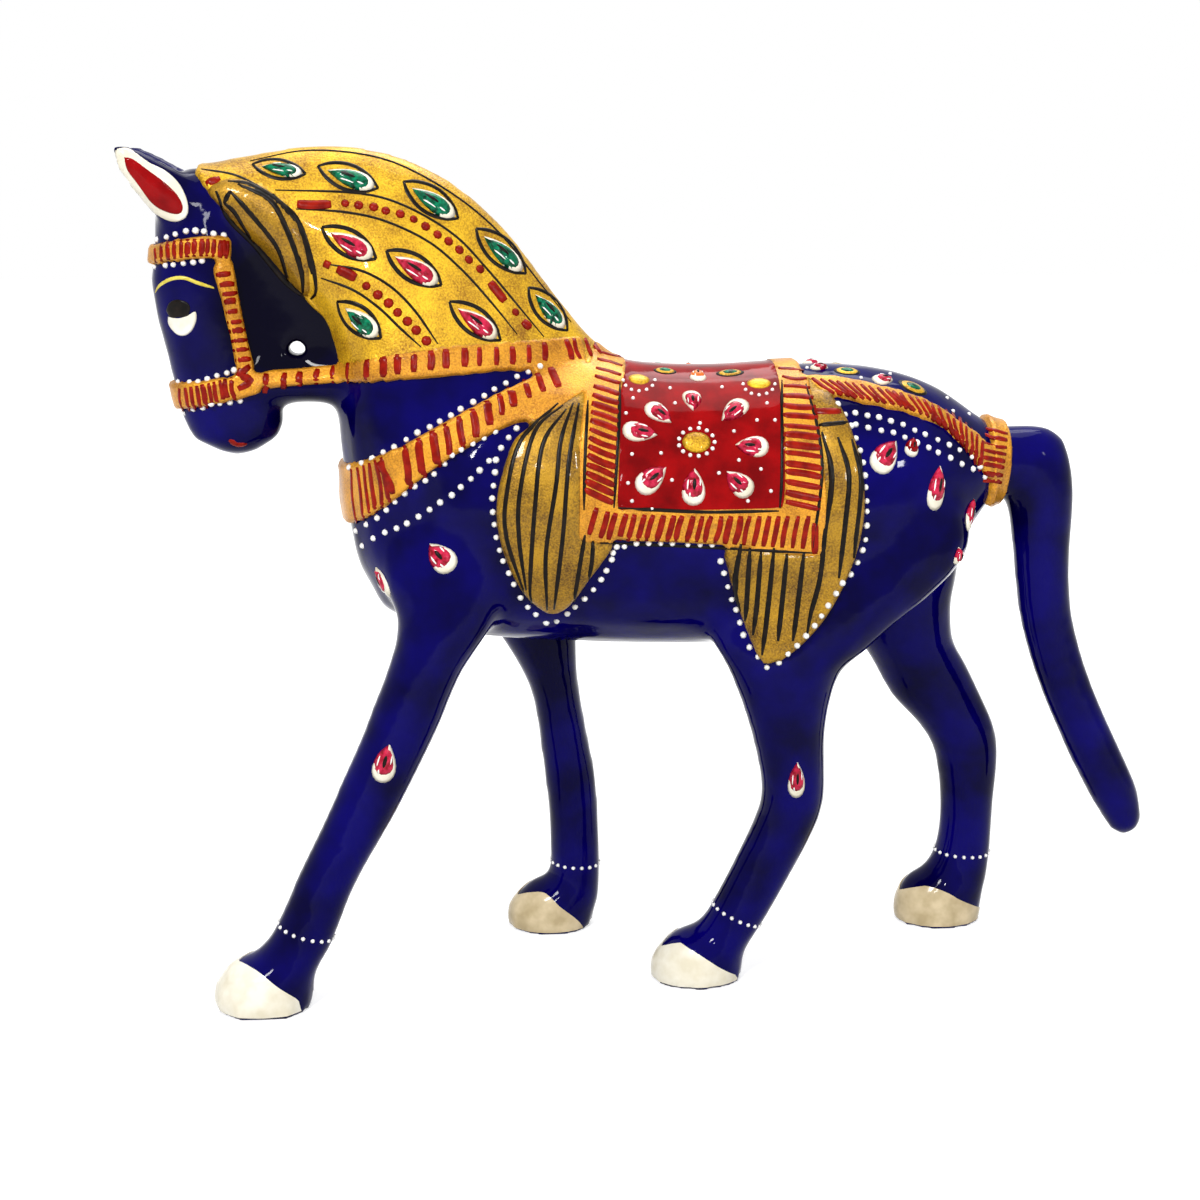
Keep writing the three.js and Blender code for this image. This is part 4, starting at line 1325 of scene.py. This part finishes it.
MANE_EYES = {
    "green": [
        (279, 169, 54, 21, 170), (348, 177, 64, 28, 160), (431, 200, 66, 29, 146), (501, 251, 67, 29, 138),
        (548, 309, 58, 27, 132), (359, 320, 57, 28, 140),
    ],
    "pink": [(349, 243, 63, 28, 150), (414, 268, 65, 29, 148), (475, 321, 64, 28, 143)],
}
MANE_LINES = [
    [(275, 190), (356, 193), (403, 205), (453, 234), (488, 270), (520, 308), (544, 337)],
    [(296, 209), (344, 212), (385, 221), (429, 242), (462, 270), (491, 302), (517, 334)],
    [(327, 264), (362, 271), (391, 287), (415, 311), (438, 344)],
    [(321, 278), (353, 290), (379, 308), (400, 328), (421, 347)],
    [(201, 169), (232, 174), (253, 183), (263, 189)],
    [
        (250, 161), (300, 151), (347, 152), (390, 161), (432, 181), (472, 208), (505, 239), (540, 283),
        (571, 322),
    ],
]
MANE_DOTS = [
    [(345, 203), (366, 206), (401, 214), (427, 227), (457, 248), (480, 269)], [(516, 312), (528, 325)],
    [(366, 285), (393, 308), (427, 341)],
]
MANE_DASHES = [
    [(297, 204), (312, 205), (331, 204)], [(324, 263), (330, 266)], [(337, 269), (346, 273), (356, 278)],
    [(490, 282), (497, 291), (505, 301)], [(523, 321), (530, 328)],
]

# The tassels' stripes by the piece that they make, and their half widths.
STRIPES = {
    "poll": [
        [(224, 203), (234, 212), (242, 225), (254, 244)],
        [(230, 191), (254, 218), (277, 248), (288, 280), (297, 292)],
        [(238, 184), (270, 200), (288, 233), (301, 271), (303, 296)],
        [(273, 194), (297, 223), (309, 262), (312, 274)], [(224, 203), (230, 191)],
        [(216, 191), (228, 218), (255, 246), (285, 282), (305, 298)],
        [(228, 181), (247, 183), (270, 195), (296, 218), (311, 259), (316, 290), (311, 299)],
    ],
    "front_lobe": [
        [(558, 403), (521, 440), (507, 492), (506, 535), (524, 593)],
        [(563, 405), (535, 431), (520, 492), (519, 538), (526, 590)],
        [(566, 409), (543, 444), (535, 507), (530, 584), (532, 604)],
        [(573, 403), (561, 440), (556, 486), (546, 553), (547, 610)],
        [(579, 403), (569, 461), (563, 535), (555, 602), (554, 609)], [(585, 535), (579, 571), (574, 602)],
        [(593, 541), (592, 561), (589, 579)],
    ],
    "rear_lobe": [
        [(822, 432), (832, 475), (826, 526), (820, 578), (811, 613), (807, 635)],
        [(838, 437), (849, 475), (845, 526), (839, 578)], [(852, 439), (861, 483), (854, 558)],
        [(858, 445), (864, 491)], [(741, 544), (735, 585), (740, 611)],
        [(750, 548), (747, 597), (745, 621)], [(761, 552), (757, 603), (753, 635)],
        [(774, 548), (767, 617), (762, 655)], [(787, 554), (781, 613), (778, 641)],
        [(804, 552), (798, 603), (793, 641)], [(819, 425), (848, 422)],
    ],
}
STRIPE_WIDTHS = {"poll": 0.66, "front_lobe": 0.56, "rear_lobe": 0.66}
CLOTH_LINES = [
    [(588, 400), (585, 460), (584, 510)], [(620, 384), (618, 440), (614, 508)],
    [(782, 380), (782, 469), (780, 508)], [(618, 508), (700, 512), (779, 511)],
    [(600, 543), (700, 547), (770, 551), (812, 553)], [(806, 384), (818, 430), (822, 475), (813, 548)],
]

# The stones of the cloth point at its flower: middle, length and width.
CLOTH_STONES = [
    (692, 400, 29, 23), (659, 413, 34, 25), (640, 432, 38, 26), (652, 479, 40, 28), (694, 487, 40, 28),
    (739, 483, 36, 27), (752, 446, 36, 26), (734, 410, 38, 25),
]
FLOWER = (696.6, 442)
# The small rosettes: middle in pixels, half length and half width.
ROSETTES = [(639, 379, 2.5, 2.0), (759, 383, 2.8, 1.9)]
RUMP_ROSETTE = (877, 367)
CLOTH_DOTS = [
    (670, 388), (722, 387), (633, 398), (675, 403), (700, 423), (767, 403), (757, 420), (775, 420),
    (661, 453), (632, 454), (719, 473), (739, 460), (761, 469), (672, 480), (628, 483), (632, 501),
    (652, 509), (748, 501), (771, 491), (626, 413), (734, 431),
]
# Leaves and stones on the back, the stones with their colour.
CLOTH_LEAVES = [(665, 371, 27, 10, 175), (730, 373, 33, 11, 5)]
RUMP_LEAVES = [(847, 371, 31, 13, 178), (913, 387, 36, 16, 160)]
RUMP_STONES = [
    (883, 380, 25, 20, 0, "pink"), (819, 368, 20, 13, 0, "pink"), (912, 447, 22, 18, 80, "red"),
    (969, 515, 36, 16, 80, "pink"), (958, 556, 20, 14, 80, "pink"),
]
ORANGE_STONE = ((698, 376), 22, 20, 90)
BODY_STONES = {
    "rump_front": ((886, 456), 42, 31, 55),
    "rump_rear": ((937, 488), 48, 26, 80),
    "shoulder": ((441, 557), 38, 31, 130),
    "chest": ((383.5, 582), 38, 24, 115),
}
RUMP_DOTS = [(807, 368), (861, 378), (890, 374), (898, 372), (947, 398), (953, 411), (969, 414)]


def eye_outline(paint, name, pixel, length, width, heading):
    """A painted outline that is pointed at both ends, in two strokes."""
    angle = math.radians(heading)
    ahead = np.array([math.cos(angle), -math.sin(angle)])
    aside = np.array([-ahead[1], ahead[0]])
    stops = np.linspace(-1, 1, 9)
    for turn in (1, -1):
        bulge = np.cos(stops * math.pi / 2) ** 0.8 * width / 2 * turn
        points = np.array(pixel) + np.outer(stops * length / 2, ahead) + np.outer(bulge, aside)
        paint.line(name, points, EYE_LINE, taper=0.6)


def paint_straps(paint):
    for name, edges, count, half_width, skew in STRAP_STROKES:
        paint.strokes("strokes_" + name, *edges, count, half_width, skew)
    for line in STRAP_SMEARS:
        paint.line("strokes_smear", line, SMEAR_LINE, taper=0.7)
    for name, lines in PEARLS.items():
        for line in lines:
            paint.beads("pearls_" + name, line, BRIDLE_GAP if name == "bridle" else PEARL_GAP)


def paint_mane(paint, stones):
    for line in MANE_LINES:
        paint.line("lines_mane", line, MANE_LINE)
    for line in MANE_DOTS:
        paint.beads("dots_mane", line, MANE_GAP, *MANE_DOT)
    for line in MANE_DASHES:
        paint.line("dots_mane", line, *MANE_DOT, taper=0.75)
    for colour, eyes in MANE_EYES.items():
        for x, y, length, width, heading in eyes:
            eye_outline(paint, "lines_mane", (x, y), length, width * 0.9, heading)
            angle = math.radians(heading)
            middle = (x - 0.05 * length * math.cos(angle), y + 0.05 * length * math.sin(angle))
            stones.place("mane", middle, length * 0.8, width * 0.9, heading, colour)


def paint_tassels(paint):
    for name, lines in STRIPES.items():
        for line in lines:
            paint.line("stripes_" + name, line, STRIPE_WIDTHS[name])


def heading_between(start, end):
    return math.degrees(math.atan2(start[1] - end[1], end[0] - start[0]))


def paint_cloth(paint, stones):
    for line in CLOTH_LINES:
        paint.line("lines_cloth", line, CLOTH_LINE)
    for x, y, length, width in CLOTH_STONES:
        stones.place("cloth", (x, y), length, width, heading_between((x, y), FLOWER))
    for pixel in CLOTH_DOTS:
        paint.dot("dots_cloth", pixel, *CLOTH_DOT)
    paint.blob("flower", FLOWER, ellipse(3.2, 2.5, 22), 0.5)
    for x, y, wide, high in ROSETTES:
        paint.blob("rosettes", (x, y), ellipse(wide, high, 16), 0.4)
        for turn in np.radians(np.linspace(5, 175, 7)):
            paint.dot("dots_cloth", (x + 16 * math.cos(turn), y + 12 * math.sin(turn)), *CLOTH_DOT)
    for x, y, length, width, heading in CLOTH_LEAVES:
        stones.place("saddle_top", (x, y), length, width * LEAF_WIDTH, heading, "leaf")
    stones.place("saddle_top", *ORANGE_STONE, "orange")


def paint_rump(paint, stones):
    for pixel in RUMP_DOTS:
        paint.dot("pearls_rump", pixel, *RUMP_PEARL)
    for x, y, length, width, heading in RUMP_LEAVES:
        stones.place("rump_side", (x, y), length, width * LEAF_WIDTH, heading, "leaf")
    for x, y, length, width, heading, colour in RUMP_STONES:
        stones.place("rump_side", (x, y), length, width, heading, colour)
    for area in ("rump_front", "rump_rear"):
        stones.place(area, *BODY_STONES[area])
    paint.blob("rosettes", RUMP_ROSETTE, ellipse(1.6, 1.3, 12), 0.3)


def paint_body(stones):
    for area in ("shoulder", "chest"):
        stones.place(area, *BODY_STONES[area])
    for side in SIDES:
        stones.place_on_node("forearm", side, lean=0.25)
        stones.place_on_node("gaskin", side)


EAR_CREAM = [
    (113, 151), (118, 146), (128, 147), (148, 161), (167, 171), (181, 185), (189, 204), (187, 218),
    (174, 223), (157, 216), (140, 201), (124, 179), (113, 161),
]
EAR_RED = [
    (123, 156), (132, 158), (150, 171), (165, 182), (178, 195), (184, 208), (180, 215), (167, 213),
    (152, 204), (137, 184), (126, 169),
]
EYE_WHITE = [
    (167, 316), (178, 318), (188, 315), (196, 311), (197, 320), (193, 330), (186, 336), (178, 336),
    (171, 330), (167, 323),
]
PUPIL = [
    (165, 311), (168, 303), (175, 299), (184, 300), (190, 304), (191, 311), (188, 316), (178, 318),
    (169, 317),
]
BROW = [(154, 296), (159, 286), (171, 279), (184, 278), (198, 283), (214, 288)]
MOUTH = [(229, 440), (238, 445), (247, 444)]


def spot_towards(ground, middle, pixel):
    """What is seen at a pixel, or where the surface ends on the way there from the middle."""
    for share in np.linspace(1, 0, 41):
        spot = ground.seen(middle + (pixel - middle) * share)
        if spot is not None and spot[0][1] < SEAM_Y:
            return spot
    return None


def patch(paint, name, outline, rise, rings=6):
    """A flat patch of paint inside an outline of pixels."""
    curve = catmull(outline + outline[:1], 2.5)[:-1]
    after = np.roll(curve, -1, 0)
    if (curve[:, 0] * after[:, 1] - curve[:, 1] * after[:, 0]).sum() > 0:
        curve = curve[::-1]
    middle = curve.mean(0)
    spots = [spot_towards(paint.ground, middle, middle + (pixel - middle) * ring / rings)
             for ring in range(rings, 0, -1) for pixel in curve]
    spots.append(paint.ground.seen(middle))
    lifts = [-BEAD_SINK] * len(curve) + [rise] * (len(spots) - len(curve))
    faces = dome_faces(len(curve), rings)
    for piece, side_spots in paint.sides(name, spots):
        points = [place + normal * lift for (place, normal), lift in zip(side_spots, lifts)]
        paint.keep(piece, np.array(points), faces)
        # The twin is a mirror image, so its faces are turned.
        faces = [tuple(reversed(face)) for face in faces]


def paint_face(paint):
    patch(paint, "eye", EYE_WHITE, EYE_RISE)
    paint.line("brow", BROW, BROW_LINE)
    paint.line("mouth", MOUTH, MOUTH_LINE, 0.14)
    patch(paint, "ear_cream", EAR_CREAM, PATCH_RISE, rings=14)


def paint_second(paint):
    patch(paint, "pupil", PUPIL, PATCH_RISE)
    patch(paint, "ear_red", EAR_RED, PATCH_RISE, rings=12)
    for turn in np.arange(13) * 2 * math.pi / 13:
        pixel = (FLOWER[0] + 18 * math.cos(turn), FLOWER[1] + 14 * math.sin(turn))
        paint.dot("pearls_flower", pixel, *FLOWER_PEARL)


# The skin that a ring of pearls is cut from: round the leg's node, and above and below the ring.
LEG_MARGIN = 3
RING_REACH = 9
FETLOCK_GAP = 2.0
# Where the rings of pearls round the fetlocks stand, in pixels at the front and at the back.
FETLOCKS = {
    "foreleg_near": [(280, 927), (328, 941)],
    "hindleg_near": [(720, 911), (752, 926)],
    "foreleg_far": [(560, 866), (592, 867)],
    "hindleg_far": [(944, 854), (980, 857)],
}


def ring_of_pearls(paint, leg, pixels, points, triangles):
    """Pearls all round a leg, on the slanting plane through two pixels."""
    start, end = (paint.ground.seen(pixel)[0] for pixel in pixels)
    across = unit(np.array([end[2] - start[2], 0, start[0] - end[0]]))
    low, high = box_of(leg)
    near = ((points > low - LEG_MARGIN) & (points < high + LEG_MARGIN)).all(1)
    near &= np.abs(points[:, 2] - start[2]) < RING_REACH
    level = (points - start) @ across
    chosen = triangles[near[triangles].all(1)]
    side = level[chosen] > 0
    crossed = chosen[side.any(1) & ~side.all(1)]
    data, _ = cut(np.concatenate([points, level[:, None]], 1), crossed, level)
    loop = data[len(points):, :3]
    middle = loop.mean(0)
    order = np.argsort(np.arctan2(loop[:, 1] - middle[1], loop[:, 0] - middle[0]))
    loop = np.concatenate([loop[order], loop[order[:1]]])
    count = int(round(curve_length(loop) / FETLOCK_GAP))
    for spot in spaced(loop, np.arange(count) / count * curve_length(loop)):
        paint.bead("pearls_" + leg, paint.ground.nearest(spot), *LEG_PEARL)


# The kinds of painted pieces that share a material and a slot of the record.
KINDS = {
    ("stroke_red", "red_enamel"): ["strokes", "dots_mane", "mouth"],
    ("red", "red_enamel"): ["ear_red"],
    ("pearl", "eye_white"): ["pearls", "dots_cloth"],
    ("eye", "eye_white"): ["eye"],
    ("gold", "gold_leaf"): ["flower", "rosettes", "leaf_gold"],
    ("cream", "hoof_cream"): ["ear_cream"],
    ("cream", "painted_stone"): ["stone_base"],
    ("black", "painted_stone"): ["lines", "stripes", "stone_slit", "pupil", "leaf_rim"],
    ("pearl", "painted_stone"): ["stone_glint"],
    ("pink", "painted_stone"): ["stone_pink"],
    ("red", "painted_stone"): ["stone_red"],
    ("green", "painted_stone"): ["stone_green", "leaf_green"],
    ("orange", "painted_stone"): ["stone_orange"],
    ("brow", "painted_stone"): ["brow"],
}


def paint_all(ground, points, triangles, materials):
    kinds = {kind: (materials[key], slot) for (key, slot), group in KINDS.items() for kind in group}
    paint = Paint(ground, kinds)
    stones = Stones(paint)
    paint_straps(paint)
    paint_mane(paint, stones)
    paint_tassels(paint)
    paint_cloth(paint, stones)
    paint_rump(paint, stones)
    paint_body(stones)
    paint_face(paint)
    for leg, pixels in FETLOCKS.items():
        ring_of_pearls(paint, leg, pixels, points, triangles)
    for number in range(3):
        stones.coat(number)
        paint.lay()
        if number == 0:
            paint_second(paint)


REPLACED = {
    "eye": "eye",
    "flower": "cloth_flower",
    "stone_base_shoulder": "shoulder_stone",
    "stone_base_forearm": "forearm_stone",
    "stone_base_gaskin": "gaskin_stone",
    "stone_base_rump_front": "rump_stone_front",
    "stone_base_rump_rear": "rump_stone_rear",
}


def build_all():
    camera = Camera()
    camera.build()
    build_world()
    build_lamps()
    build_floor()
    bpy.context.scene.view_settings.view_transform = "Standard"
    materials = make_materials()
    points, quads = enamel_skin()
    normals = point_normals(points, quads)
    triangles = split_quads(quads)
    build_skin(points, quads, materials)
    ground = Ground(camera)
    ground.add(points, triangles)
    ground.settle()
    build_hooves(points, normals, triangles, ground, materials)
    build_raised(points, normals, triangles, ground, materials)
    ground.settle()
    paint_all(ground, points, triangles, materials)


build_all()
